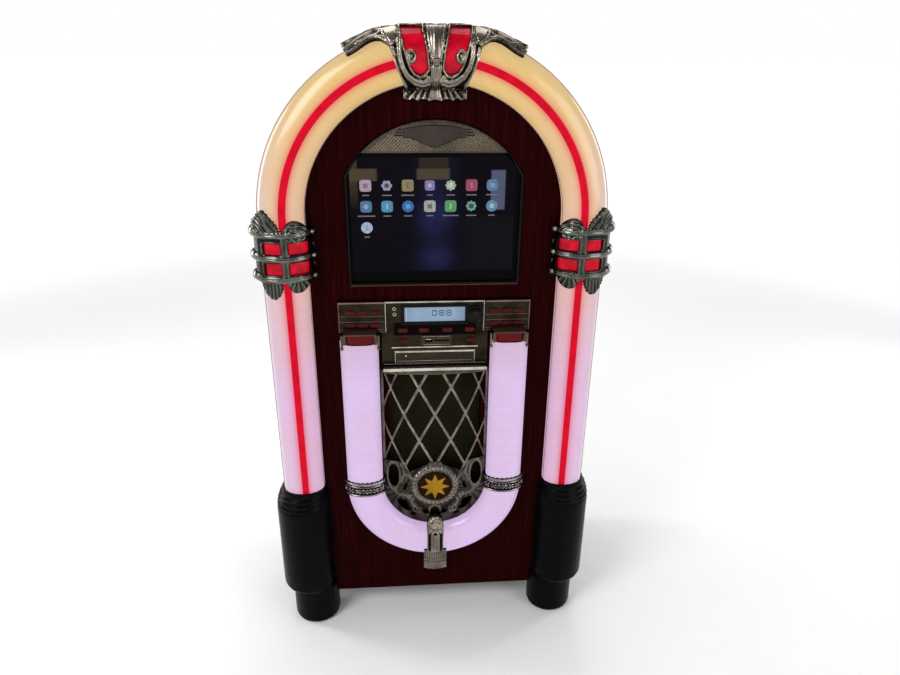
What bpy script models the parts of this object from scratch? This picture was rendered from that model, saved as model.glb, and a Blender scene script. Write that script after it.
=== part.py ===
"""Arched floor-standing jukebox with light tubes, a touch screen, a disc drawer and push keys.

Lengths are metres. +Z is up, the front faces -Y, and the origin lies on the floor in the
middle of the footprint. Depths are told from the wooden face of the cabinet: a "reach" is a
distance in front of that face, and a "set back" is a distance behind it.
"""
import math

import bmesh
import bpy
from mathutils import Vector

# Cabinet
cabinet_half_width = 0.266
cabinet_depth = 0.262
arch_centre_height = 0.7906
base_height = 0.050
side_thickness = 0.012
face_thickness = 0.015
base_thickness = 0.015
back_thickness = 0.005
back_margin = 0.003
arch_segments = 28

# Fits
gap = 0.0003
cut_overrun = 0.004
weld = 0.0006

# Outer light tube, a half-round hollow cover on the face
tube_outer_radius = 0.2694
tube_width = 0.0701
tube_side = 0.008
tube_bulge = 0.030
tube_wall = 0.003
tube_segments = 24
tube_arc_steps = 8
tube_joint_drop = 0.0526
stripe_width = 0.011
stripe_thickness = 0.0016
led_width = 0.010
led_thickness = 0.002
led_segments = 14

# Boots under the outer tubes
boot_height = 0.303
boot_radius = 0.049
boot_centre = 0.240
boot_axis_set_back = 0.005
boot_foot_radius = 0.043
boot_foot_centre = 0.230
boot_foot_height = 0.074
boot_foot_reach = 0.036
boot_shoulder_height = 0.088
boot_toe_height = 0.009
boot_sides = 22
boot_sole_shares = (0.86, 0.84)
boot_toe_shares = (0.95, 0.94)
boot_step_shares = (0.94, 0.93)
boot_lip = 0.0050
boot_rib_count = 4
boot_rib_zone = 0.045
boot_rib_relief = 0.0022
boot_socket_depth = 0.018
plinth_half_width = 0.205
plinth_depth = 0.032
plinth_set_back = 0.212

# Clamps round the outer tubes
clamp_bar_height = 0.0125
clamp_window_height = 0.0215
clamp_drop = 0.0395
clamp_skin = 0.0040
clamp_rim_skin = 0.0020
clamp_bar_relief = 0.0035
clamp_knuckle = 0.0075
clamp_groove = 0.0020
clamp_turns = (0, 0, 20, 42, 62, 82.5, 97.5, 118, 138, 160, 180, 180)
clamp_lobe_shares = (0.10, 0.35, 0.80, 1.00, 0.80, 0.20, 0.15, 0.85, 1.00, 0.70, 0.35, 0.20)
clamp_knuckle_shares = (1.0, 1.0, 0.5, 0, 0, 0, 0, 0, 0, 0, 0, 0)
clamp_window_knuckle_share = 0.8
clamp_inner_crest = 0.016
clamp_outer_crest = 0.035
clamp_inner_skirt = 0.0175
clamp_outer_skirt = 0.0275
lens_recess = 0.0016
lens_sheet = 0.0015
stripe_clearance = 0.0009

# Crown over the top of the arch
crown_half_angle = math.radians(15.5)
crown_skin = 0.0080
crown_wing_skin = 0.0035
crown_relief = 0.0024
crown_bracket_length = 0.013
crown_wing_angle = math.radians(27.5)
crown_wing_steps = 3
crown_column_shares = (0.10, 0.29, 0.47, 0.66, 0.86, 1.0)
crown_row_shares = (
    ("ground", 180, 0.92, 0.375), ("tube", 180, 0.97, 0.375), ("tube", 162, 1.0, 0.675),
    ("tube", 142, 1.0, 0.8), ("tube", 118, 0.98, 1.0), ("tube", 90, 0.93, 1.0), ("tube", 74, 0.89, 1.0),
    ("tube", 58, 0.84, 1.0), ("tube", 32, 0.76, 0.85), ("tube", 0, 0.72, 0.5),
    ("flat", 0.45, 0.84, 0.5), ("flat", 1.0, 0.92, 0.25),
)
wing_taper_share = 0.62

# Window, header and screen
window_half_width = 0.137
window_sill = 0.0250
window_shoulder_rise = 0.0644
window_arch_rise = 0.0825
window_segments = 20
frame_wall = 0.0035
frame_reach = 0.0025
frame_depth = 0.0150
screen_top_rise = 0.0327
screen_set_back = 0.0040
screen_thickness = 0.0140
header_set_back = 0.0030
header_thickness = 0.0030

# Control fascia
fascia_side_margin = 0.001
fascia_top = 0.655
fascia_wing_drop = 0.054
fascia_centre_margin = 0.0005
fascia_height = 0.1205
fascia_thickness = 0.008
ledge_height = 0.0065
ledge_reach = 0.020
bay_margin = 0.006
bay_side_room = 0.0072
bay_sill = 0.007

# Display board behind the fascia
board_room = 0.0010
board_thickness = 0.0016
board_margin = 0.002
lcd_half_width = 0.0505
lcd_drop = 0.037
lcd_height = 0.030
lcd_recess = 0.0020

# Keys
key_spacing = 0.0030
key_half_height = 0.0038
key_proud = 0.0030
key_flange = 0.0014
key_flange_thickness = 0.0010
key_travel = 0.0012
key_end_steps = 4
centre_upper_key_drop = 0.051
centre_lower_key_drop = 0.070
upper_key_shares = (-0.60, -0.205, 0.235, 0.655)
lower_key_shares = (-0.60, 0.69)
wing_upper_key_drop = 0.019
wing_lower_key_drop = 0.041
wing_key_pitch_share = 0.285
wing_key_centre_share = 0.43

# Volume knob and headphone socket
knob_radius = 0.0145
knob_height = 0.0150
knob_centre_share = 0.75
knob_drop = 0.024
knob_rim = 0.0015
knob_shaft_radius = 0.0030
knob_sides = 24
knob_grip_share = 0.75
socket_radius = 0.0018
socket_upper_drop = 0.013
socket_lower_drop = 0.0225
socket_sides = 12

# Memory port plate
port_half_width = 0.0255
port_centre = 0.0025
port_rise = 0.041
port_height = 0.0195
port_flange = 0.003
port_flange_thickness = 0.0018
port_body_depth = 0.016
usb_half_width = 0.00625
usb_height = 0.0052
usb_depth = 0.012
card_half_width = 0.0122
card_height = 0.0024

# Disc drawer
drawer_front_half_width = 0.068
drawer_front_rise = 0.0095
drawer_front_height = 0.026
drawer_front_reach = 0.0095
drawer_front_thickness = 0.006
drawer_body_half_width = 0.0655
drawer_body_rise = 0.005
drawer_body_height = 0.008
drawer_length = 0.150
disc_radius = 0.0610
disc_recess = 0.0030
disc_sides = 32
disc_set_back = 0.070
drawer_slot_half_width = 0.017
drive_wall = 0.002
drive_rail_width = 0.006
drive_height = 0.033
drive_length = 0.186
turntable_radius = 0.0140
turntable_hub_radius = 0.0073
turntable_hub_height = 0.0022
turntable_hub_share = 0.8
turntable_drop = 0.0012
turntable_shaft_radius = 0.0040
turntable_sides = 24

# Drawer rack and pinion
gear_module = 0.00125
pinion_teeth = 12
tooth_addendum_share = 0.80
tooth_dedendum_share = 1.15
tooth_backlash_share = 0.16
tooth_slope_share = 0.25
rack_line = 0.047
rack_thickness = 0.004
pinion_set_back = 0.0105
pinion_shaft_radius = 0.003

# Inner U-shaped light tube
inner_tube_width = 0.068
inner_bow_height = 0.2934
inner_tube_bulge = 0.028
inner_segments = 20
head_inset = 0.006
head_reach = 0.0325
head_height = 0.0243
head_post_width = 0.006
head_lens_margin = 0.0025
head_lens_depth = 0.005
collar_drop = 0.0054
collar_height = 0.029
collar_skin = 0.0042
collar_bead = 0.0016
collar_bead_count = 3

# Speaker grille
grille_half_width = 0.0875
grille_side_gap = 0.0015
grille_top_gap = 0.0005
grille_bulge = 0.012
grille_ellipse_margin = 0.0195
grille_thickness = 0.0036
grille_rim = 0.006
lattice_bar = 0.0046
lattice_pitch_angle = math.radians(30)
lattice_row_height = 0.105
lattice_middle_drop = 0.0875
lattice_step = math.radians(7.5)
lattice_root = 0.008
lattice_inset = 0.0002
medallion_rise = 0.0056
medallion_radius = 0.030
medallion_ring = 0.0125
medallion_ring_relief = 0.0045
medallion_thickness = 0.005
medallion_ring_shares = (0.85, 0.2)
medallion_dish_share = 0.5
medallion_sides = 28
scroll_knot_shares = (0.0, 0.22, 0.42, 0.55, 0.66, 0.80, 1.0)
scroll_rise_shares = (0.0, -0.3, -0.2, 0.0, 0.3)
star_radius = 0.0265
star_waist_share = 0.48
star_relief = 0.0016
star_point_count = 8
scroll_steps = 16
bow_count = 8
scroll_oval_inset = 0.0130
scroll_oval_rise = 0.0220
scroll_oval_half_width = 0.0085
scroll_oval_half_height = 0.0225
crescent_shares = (0.88, 0.64)
crescent_steps = 5
curl_radius = 0.0105
curl_hole_radius = 0.0050
curl_place_shares = (0.354, 0.536)
curl_sides = 14
cloth_thickness = 0.002
opening_margin = 0.0075
opening_drop = 0.0005

# Pendant under the medallion
pendant_neck_half_width = 0.0155
pendant_block_half_width = 0.0215
pendant_top_gap = 0.0245
pendant_block_rise = 0.0236
pendant_drop = 0.0194
pendant_neck_reach = 0.0385
pendant_block_reach = 0.0320
pendant_top_set = 0.0113
pendant_brow_share = 0.7

# Loudspeaker
speaker_height = 0.430
speaker_margin = 0.0050
speaker_flange = 0.0035
speaker_rim_width = 0.0190
speaker_depth = 0.060
speaker_magnet_radius = 0.045
speaker_magnet_thickness = 0.022
speaker_cone_depth = 0.030
speaker_coil_radius = 0.018
speaker_sides = 24
speaker_cap_shares = (0.5, 0.8)
speaker_basket_share = 0.8

# Rear hardware
connector_centre = 0.120
connector_level = 0.165
connector_half_width = 0.055
connector_half_height = 0.030
connector_plate_thickness = 0.0018
connector_flange = 0.005
connector_body_depth = 0.016
inlet_half_width = 0.0122
inlet_half_height = 0.0085
inlet_depth = 0.012
inlet_offset = 0.032
phono_radius = 0.0040
phono_length = 0.0045
phono_pitch = 0.016
rocker_half_width = 0.0062
rocker_half_height = 0.0095
rocker_swell = 0.0018
rocker_angle = math.radians(11)
rocker_depth = 0.0060
rocker_waist_share = 0.62
rocker_dip_share = 0.35
screw_hole_radius = 0.0021
screw_margin = 0.008
screw_sides = 8
screw_level_shares = (0.03, 0.35, 0.68, 1.0)
screw_arch_degrees = (36, 72, 108, 144)
vent_count = 6
vent_half_length = 0.070
vent_half_height = 0.0035
vent_pitch = 0.018
vent_level = 0.470

# Electronics on the base board
transformer_half_width = 0.026
transformer_depth = 0.038
transformer_height = 0.042
transformer_offset = 0.038
amplifier_half_width = 0.070
amplifier_height = 0.090
amplifier_board_thickness = 0.0018
amplifier_centre = 0.060
amplifier_set_back = 0.150
amplifier_sink_half_width = 0.045
amplifier_sink_height = 0.050
amplifier_sink_depth = 0.022
amplifier_fin_count = 5
amplifier_fin_depth = 0.014
amplifier_fin_share = 0.5

# Worked out from the values above
shell_under = gap + stripe_thickness + stripe_clearance
cover_under = shell_under + lens_sheet + gap
front_reach = tube_bulge + cover_under + crown_skin + crown_relief
rear_set_back = cabinet_depth + gap + back_thickness + gap + connector_plate_thickness + phono_length
face = (front_reach - rear_set_back) / 2
tube_centre_radius = tube_outer_radius - tube_width / 2
tube_joint_height = arch_centre_height - tube_joint_drop
clamp_low = tube_joint_height - clamp_drop
window_low = fascia_top + window_sill
fascia_wing_low = fascia_top - fascia_wing_drop
fascia_low = fascia_top - fascia_height
inner_tube_top = fascia_wing_low - head_height
bay_low = fascia_low + bay_sill
lcd_low = fascia_top - lcd_drop
knob_level = fascia_top - knob_drop
centre_key_row_heights = (fascia_top - centre_upper_key_drop, fascia_top - centre_lower_key_drop)
wing_key_row_heights = (fascia_top - wing_upper_key_drop, fascia_top - wing_lower_key_drop)
socket_levels = (fascia_top - socket_upper_drop, fascia_top - socket_lower_drop)
port_low = fascia_low + port_rise
drawer_front_low = fascia_low + drawer_front_rise
drawer_body_low = drawer_front_low + drawer_body_rise
window_shoulder = arch_centre_height + window_shoulder_rise
screen_top = window_shoulder + screen_top_rise
inner_outer_half_width = grille_half_width + grille_side_gap + inner_tube_width
inner_centre = inner_outer_half_width - inner_tube_width / 2
head_half_width = inner_tube_width / 2 - head_inset
head_lens_half_width = head_half_width - head_post_width
fascia_half_width = inner_outer_half_width + fascia_side_margin
fascia_centre_half_width = grille_half_width + fascia_centre_margin
fascia_wing_width = fascia_half_width - fascia_centre_half_width
wing_key_centre = fascia_centre_half_width + wing_key_centre_share * fascia_wing_width
wing_key_pitch = wing_key_pitch_share * fascia_wing_width
key_half_length = (wing_key_pitch - key_spacing) / 2
knob_centre = knob_centre_share * fascia_centre_half_width
board_set_back = key_flange_thickness + key_travel + board_room
bay_centre_half_width = drawer_body_half_width + gap + drive_wall + bay_side_room
window_arch_radius = (window_half_width ** 2 + window_arch_rise ** 2) / (2 * window_arch_rise)
panel_half_width = cabinet_half_width - side_thickness - gap
screen_half_width = window_half_width - 2 * gap - frame_wall
clamp_height = 3 * clamp_bar_height + 2 * clamp_window_height
boot_reach = boot_radius - boot_axis_set_back
grille_ellipse_half_width = grille_half_width + grille_ellipse_margin
grille_top = fascia_low - grille_top_gap
lattice_middle_row = grille_top - lattice_middle_drop
opening_half_width = grille_half_width - opening_margin
opening_top = grille_top - opening_drop
speaker_radius = opening_half_width + speaker_margin
speaker_cone_radius = speaker_radius - speaker_rim_width
medallion_height = inner_bow_height + medallion_rise
scroll_oval_centre = grille_half_width - scroll_oval_inset
scroll_oval_height = medallion_height + scroll_oval_rise
crescent_outer_radius, crescent_inner_radius = (share * grille_half_width for share in crescent_shares)
curl_centre = curl_place_shares[0] * grille_half_width
curl_height = inner_bow_height - curl_place_shares[1] * grille_half_width
collar_low = inner_bow_height - collar_drop
pendant_top = medallion_height - medallion_radius - medallion_ring - pendant_top_gap
pendant_waist = inner_bow_height - inner_outer_half_width + pendant_block_rise
pendant_low = inner_bow_height - inner_outer_half_width - pendant_drop
pitch_radius = gear_module * pinion_teeth / 2
tooth_pitch = math.pi * gear_module


def front(reach):
    """Y of a plane that lies a reach in front of the wooden face."""
    return face - reach


def behind(set_back):
    """Y of a plane that lies a set back behind the wooden face."""
    return face + set_back


def finish(name, colour, roughness, metallic=0.0, glow=0.0):
    """Make a Principled material of one colour."""
    material = bpy.data.materials.new(name)
    material.use_nodes = True
    shader = material.node_tree.nodes["Principled BSDF"]
    shader.inputs["Base Color"].default_value = (*colour, 1.0)
    shader.inputs["Roughness"].default_value = roughness
    shader.inputs["Metallic"].default_value = metallic
    shader.inputs["Emission Color"].default_value = (*colour, 1.0)
    shader.inputs["Emission Strength"].default_value = glow
    material.diffuse_color = (*colour, 1.0)
    return material


def merge(*bodies):
    """Join bodies, each a pair of points and faces, into one pair without fusing them."""
    points = []
    faces = []
    for body_points, body_faces in bodies:
        start = len(points)
        points.extend(body_points)
        faces.extend(tuple(start + index for index in face_points) for face_points in body_faces)
    return points, faces


def loft(rings):
    """Close a solid over rings of equally many points, with a flat cap at each end."""
    count = len(rings[0])
    points = [point for ring in rings for point in ring]
    faces = []
    for row in range(len(rings) - 1):
        for index in range(count):
            following = (index + 1) % count
            low = row * count
            high = low + count
            faces.append((low + index, low + following, high + following, high + index))
    faces.append(tuple(range(count)))
    faces.append(tuple(range(len(points) - count, len(points))))
    return points, faces


def prism_y(outline, near, far):
    """Extrude an outline of (x, z) points from one Y to another."""
    return loft([[(x, y, z) for x, z in outline] for y in (near, far)])


def prism_z(outline, low, high):
    """Extrude an outline of (x, y) points from one height to another."""
    return loft([[(x, y, z) for x, y in outline] for z in (low, high)])


def prism_x(outline, left, right):
    """Extrude an outline of (y, z) points from one X to another."""
    return loft([[(x, y, z) for y, z in outline] for x in (left, right)])


def box(left, right, near, far, low, high):
    """A block between six planes."""
    return prism_z([(left, near), (right, near), (right, far), (left, far)], low, high)


def circle(radius, sides, centre=(0.0, 0.0), squash=1.0):
    """Points round a circle, or round an ellipse when squashed."""
    turns = [math.tau * index / sides for index in range(sides)]
    across, up = centre
    return [(across + radius * math.cos(turn), up + radius * squash * math.sin(turn)) for turn in turns]


def turned_y(profile, centre_x, centre_z, sides):
    """Turn a profile of (radius, y) points about an axis along Y."""
    centre = (centre_x, centre_z)
    return loft([[(x, y, z) for x, z in circle(radius, sides, centre)] for radius, y in profile])


def turned_z(profile, centre_x, centre_y, sides):
    """Turn a profile of (radius, z) points about an axis along Z."""
    centre = (centre_x, centre_y)
    return loft([[(x, y, z) for x, y in circle(radius, sides, centre)] for radius, z in profile])


def build(name, body, material, origin=(0.0, 0.0, 0.0), crease=math.radians(35)):
    """Make a named object from a body, with its origin at a given place."""
    points, faces = body
    mesh = bpy.data.meshes.new(name)
    mesh.from_pydata([Vector(point) - Vector(origin) for point in points], [], faces)
    shell = bmesh.new()
    shell.from_mesh(mesh)
    bmesh.ops.recalc_face_normals(shell, faces=shell.faces)
    shell.to_mesh(mesh)
    shell.free()
    mesh.materials.append(material)
    mesh.shade_smooth()
    mesh.set_sharp_from_angle(angle=crease)
    piece = bpy.data.objects.new(name, mesh)
    piece.location = origin
    bpy.context.scene.collection.objects.link(piece)
    return piece


def boolean(piece, body, operation="DIFFERENCE"):
    """Cut a body away from a piece, or join it, with a live Boolean modifier."""
    step = len(piece.modifiers)
    tool = build(f"tool_{piece.name}_{step}", body, piece.data.materials[0])
    tool.hide_render = True
    tool.display_type = "WIRE"
    modifier = piece.modifiers.new(f"{operation.lower()}_{step}", "BOOLEAN")
    modifier.operation = operation
    modifier.solver = "EXACT"
    modifier.object = tool
    return piece


def settle(piece):
    """Turn a piece's modifiers into its own mesh, cut into triangles."""
    graph = bpy.context.evaluated_depsgraph_get()
    graph.update()
    mesh = bpy.data.meshes.new_from_object(piece.evaluated_get(graph))
    tools = [modifier.object for modifier in piece.modifiers]
    piece.modifiers.clear()
    for tool in tools:
        bpy.data.objects.remove(tool)
    shell = bmesh.new()
    shell.from_mesh(mesh)
    bmesh.ops.triangulate(shell, faces=shell.faces)
    shell.to_mesh(mesh)
    shell.free()
    piece.data = mesh
    return mesh


def arch_outline(half_width, low, centre_height, radius, segments):
    """Outline with straight sides and a round top, from the lower left corner clockwise."""
    rise = math.sqrt(max(radius * radius - half_width * half_width, 0.0))
    arc_height = centre_height - rise
    start = math.atan2(rise, half_width)
    sweep_angle = math.pi - 2 * start
    outline = [(-half_width, low)]
    for index in range(segments + 1):
        turn = math.pi - start - sweep_angle * index / segments
        outline.append((radius * math.cos(turn), arc_height + radius * math.sin(turn)))
    outline.append((half_width, low))
    return outline


def bow_outline(half_width, top, bow_height, segments):
    """Outline with a flat top, straight sides and a half-round bottom."""
    outline = [(half_width, top)]
    for index in range(segments + 1):
        turn = -math.pi * index / segments
        outline.append((half_width * math.cos(turn), bow_height + half_width * math.sin(turn)))
    outline.append((-half_width, top))
    return outline


def dome(half_width, side, bulge, steps, base=0.0):
    """Half-round profile of (across, reach) points from one foot to the other."""
    points = [(-half_width, base)]
    for index in range(steps + 1):
        turn = math.pi * index / steps
        points.append((-half_width * math.cos(turn), side + (bulge - side) * math.sin(turn)))
    points.append((half_width, base))
    return points


def hollow_dome(width, side, bulge, wall, steps):
    """Closed profile of a half-round cover that is open towards the face."""
    outside = dome(width / 2, side, bulge, steps, gap)
    inside = dome(width / 2 - wall, side, bulge - wall, steps - 2, gap)
    return outside + inside[::-1]


def bar_profile(width, low, high):
    """Closed flat profile of (across, reach) points."""
    return [(-width / 2, low), (-width / 2, high), (width / 2, high), (width / 2, low)]


def sweep(profile, path):
    """Carry a profile of (across, reach) along a path of (x, z, outward x, outward z)."""
    rings = []
    for x, z, out_x, out_z in path:
        rings.append([(x + across * out_x, front(reach), z + across * out_z) for across, reach in profile])
    return loft(rings)


def arch_path(radius, leg_low, segments):
    """Path up the left leg, over the round top and down the right leg."""
    path = [(-radius, leg_low, -1.0, 0.0)]
    for index in range(segments + 1):
        turn = math.pi - math.pi * index / segments
        out_x = math.cos(turn)
        out_z = math.sin(turn)
        path.append((radius * out_x, arch_centre_height + radius * out_z, out_x, out_z))
    path.append((radius, leg_low, 1.0, 0.0))
    return path


def bow_path(radius, leg_top, bow_height, segments):
    """Path down the left leg, round the bow and up the right leg."""
    path = [(-radius, leg_top, -1.0, 0.0)]
    for index in range(segments + 1):
        turn = math.pi + math.pi * index / segments
        out_x = math.cos(turn)
        out_z = math.sin(turn)
        path.append((radius * out_x, bow_height + radius * out_z, out_x, out_z))
    path.append((radius, leg_top, 1.0, 0.0))
    return path


def leg_path(radius, side, low, high):
    """Straight upright path on one side."""
    return [(side * radius, low, side, 0.0), (side * radius, high, side, 0.0)]


def clad(outer, inner, present):
    """Closed shell between two grids of points, with holes and edges where cells are absent."""
    rows = len(outer)
    columns = len(outer[0])
    points = [point for row in outer for point in row] + [point for row in inner for point in row]
    under = rows * columns
    faces = []

    def filled(row, column):
        return 0 <= row < rows - 1 and 0 <= column < columns - 1 and present(row, column)

    for row in range(rows - 1):
        for column in range(columns - 1):
            if not filled(row, column):
                continue
            corners = [
                row * columns + column,
                row * columns + column + 1,
                (row + 1) * columns + column + 1,
                (row + 1) * columns + column,
            ]
            faces.append(tuple(corners))
            faces.append(tuple(under + corner for corner in reversed(corners)))
            beyond = ((row - 1, column), (row, column + 1), (row + 1, column), (row, column - 1))
            for side, neighbour in enumerate(beyond):
                if not filled(*neighbour):
                    start = corners[side]
                    end = corners[(side + 1) % 4]
                    faces.append((end, start, under + start, under + end))
    used = sorted({index for face_points in faces for index in face_points})
    place = {index: new for new, index in enumerate(used)}
    return [points[index] for index in used], [tuple(place[index] for index in item) for item in faces]


def over_tube(turn, offset):
    """Across and reach of a point that lies an offset outside the outer tube.

    Turns run from 0 at the inner edge to 180 degrees at the outer one.
    """
    half = tube_width / 2 + offset
    rise = tube_bulge - tube_side + offset
    angle = math.radians(turn)
    return -half * math.cos(angle), tube_side + rise * math.sin(angle)


def lozenge(half_length, half_height):
    """Flat outline with round ends, about its own middle."""
    straight = half_length - half_height
    outline = []
    for side in (1, -1):
        for index in range(key_end_steps + 1):
            turn = side * math.pi / 2 - math.pi * index / key_end_steps
            across = half_height * math.cos(turn) if index not in (0, key_end_steps) else 0.0
            outline.append((side * straight + across, half_height * math.sin(turn)))
    return outline


def shifted(outline, x, z):
    """An outline moved to a place."""
    return [(x + across, z + up) for across, up in outline]


def key_places():
    """Name, X and height of each push key."""
    places = []
    for row, (height, shares) in enumerate(zip(centre_key_row_heights, (upper_key_shares, lower_key_shares))):
        for column, share in enumerate(shares):
            places.append((f"key_centre_{row + 1}_{column + 1}", share * fascia_centre_half_width, height))
    for side, label in ((-1, "left"), (1, "right")):
        for row, height in enumerate(wing_key_row_heights):
            for column in range(3):
                x = side * wing_key_centre + (column - 1) * wing_key_pitch
                places.append((f"key_{label}_{row + 1}_{column + 1}", x, height))
    return places


def bay_outline(inset=0.0):
    """T-shaped hole in the face behind the fascia, or the same shape drawn in by an inset."""
    wide = fascia_half_width - bay_margin - inset
    slim = bay_centre_half_width - inset
    top = fascia_top - bay_margin - inset
    wing = fascia_wing_low + bay_margin / 2 + inset
    low = bay_low + inset
    right = [(wide, top), (wide, wing), (slim, wing), (slim, low)]
    return right + [(-x, z) for x, z in reversed(right)]


def window_outline(inset=0.0):
    """Outline of the window opening, or the same shape drawn in by an inset."""
    half_width = window_half_width - inset
    radius = window_arch_radius - inset
    rise = math.sqrt(window_arch_radius ** 2 - window_half_width ** 2)
    arc_centre = window_shoulder - rise
    shoulder = arc_centre + math.sqrt(radius ** 2 - half_width ** 2)
    return arch_outline(half_width, window_low + inset, shoulder, radius, window_segments)


def make_cabinet():
    """Face board, the shell bent over sides and top, base plinth and back."""
    wood = finish("mahogany_wood", (0.085, 0.018, 0.012), 0.35)
    black_board = finish("black_board", (0.02, 0.02, 0.02), 0.7)

    panel = build(
        "front_panel",
        prism_y(
            arch_outline(panel_half_width, base_height, arch_centre_height, panel_half_width, arch_segments),
            front(0), behind(face_thickness),
        ),
        wood,
    )
    near = front(cut_overrun)
    far = behind(face_thickness + cut_overrun)
    grille_hole = bow_outline(opening_half_width, opening_top, inner_bow_height, inner_segments)
    holes = merge(
        prism_y(window_outline(), near, far),
        prism_y(bay_outline(), near, far),
        prism_y(grille_hole, near, far),
    )
    boolean(panel, holes)

    inside = cabinet_half_width - side_thickness
    outer = arch_outline(cabinet_half_width, base_height, arch_centre_height, cabinet_half_width, arch_segments)
    inner = arch_outline(inside, base_height, arch_centre_height, inside, arch_segments)
    build("cabinet_shell", prism_y(outer + inner[::-1], front(0), behind(cabinet_depth)), wood)

    base = build(
        "base_plinth",
        box(
            -panel_half_width, panel_half_width, behind(face_thickness + gap), behind(cabinet_depth),
            base_height, base_height + base_thickness,
        ),
        black_board,
    )
    foot = box(
        -plinth_half_width, plinth_half_width, behind(plinth_set_back),
        behind(plinth_set_back + plinth_depth), 0.0, base_height + weld,
    )
    boolean(base, foot, "UNION")

    back_half_width = cabinet_half_width - back_margin
    near = behind(cabinet_depth + gap)
    far = near + back_thickness
    back_outline = arch_outline(
        back_half_width, base_height + back_margin, arch_centre_height, back_half_width, arch_segments,
    )
    back = build("back_panel", prism_y(back_outline, near, far), black_board)
    cuts = []
    for index in range(vent_count):
        level = vent_level + vent_pitch * index
        slot = shifted(lozenge(vent_half_length, vent_half_height), 0.0, level)
        cuts.append(prism_y(slot, near - cut_overrun, far + cut_overrun))
    cuts.append(box(
        connector_centre - connector_half_width, connector_centre + connector_half_width,
        near - cut_overrun, far + cut_overrun,
        connector_level - connector_half_height, connector_level + connector_half_height,
    ))
    for x, z in screw_places():
        cuts.append(turned_y(
            [(screw_hole_radius, near - cut_overrun), (screw_hole_radius, far + cut_overrun)],
            x, z, screw_sides,
        ))
    boolean(back, merge(*cuts))


def screw_places():
    """X and height of each screw hole round the back panel."""
    reach = cabinet_half_width - screw_margin
    span = arch_centre_height - base_height - 2 * screw_margin
    places = []
    for side in (-1, 1):
        for share in screw_level_shares:
            places.append((side * reach, base_height + 2 * screw_margin + share * span))
    for degrees in screw_arch_degrees:
        turn = math.radians(degrees)
        places.append((reach * math.cos(turn), arch_centre_height + reach * math.sin(turn)))
    return places


def make_boots():
    """Ribbed pedestals that carry the outer tubes and stand on the floor."""
    plastic = finish("boot_plastic", (0.012, 0.012, 0.013), 0.22)
    axis = behind(boot_axis_set_back)
    neck_half = tube_width / 2 + gap + boot_lip
    neck_reach = tube_bulge + shell_under + boot_lip
    foot = (boot_foot_centre, boot_foot_radius, boot_foot_reach)
    body = (boot_centre, boot_radius, boot_reach)
    sections = [
        (0.0, foot[0], foot[1] * boot_sole_shares[0], foot[2] * boot_sole_shares[1]),
        (boot_toe_height / 3, foot[0], foot[1] * boot_toe_shares[0], foot[2] * boot_toe_shares[1]),
        (boot_toe_height, *foot),
        (boot_foot_height, *foot),
        (
            (boot_foot_height + boot_shoulder_height) / 2, body[0],
            body[1] * boot_step_shares[0], body[2] * boot_step_shares[1],
        ),
        (boot_shoulder_height, *body),
        (boot_height - boot_rib_zone, *body),
    ]
    rib_steps = 2 * boot_rib_count
    for step in range(1, rib_steps + 1):
        share = step / (rib_steps + 1)
        fall = share * share
        relief = boot_rib_relief if step % 2 else 0.0
        sections.append((
            boot_height - boot_rib_zone * (1 - share),
            body[0] + (tube_centre_radius - body[0]) * fall,
            body[1] + (neck_half - body[1]) * fall - relief,
            body[2] + (neck_reach - body[2]) * fall - relief,
        ))
    sections.append((boot_height, tube_centre_radius, neck_half, neck_reach))
    socket_low = boot_height - boot_socket_depth
    for side, label in ((-1, "left"), (1, "right")):
        rings = []
        for height, centre, half_width, reach in sections:
            squash = (reach + boot_axis_set_back) / half_width
            plan = circle(half_width, boot_sides, (side * centre, 0.0), squash)
            rings.append([(x, axis + y, height) for x, y in plan])
        boot = build(f"{label}_boot", loft(rings), plastic)
        left, right = sorted((0.0, side * (cabinet_half_width + gap)))
        cabinet = box(
            left, right, front(gap), behind(cabinet_depth), base_height - gap, boot_height + cut_overrun,
        )
        boolean(boot, cabinet)
        profile = dome(
            tube_width / 2 + gap, tube_side, tube_bulge + shell_under + gap, tube_arc_steps, -cut_overrun,
        )
        socket = sweep(profile, leg_path(tube_centre_radius, side, socket_low, boot_height + cut_overrun))
        boolean(boot, socket)


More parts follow.
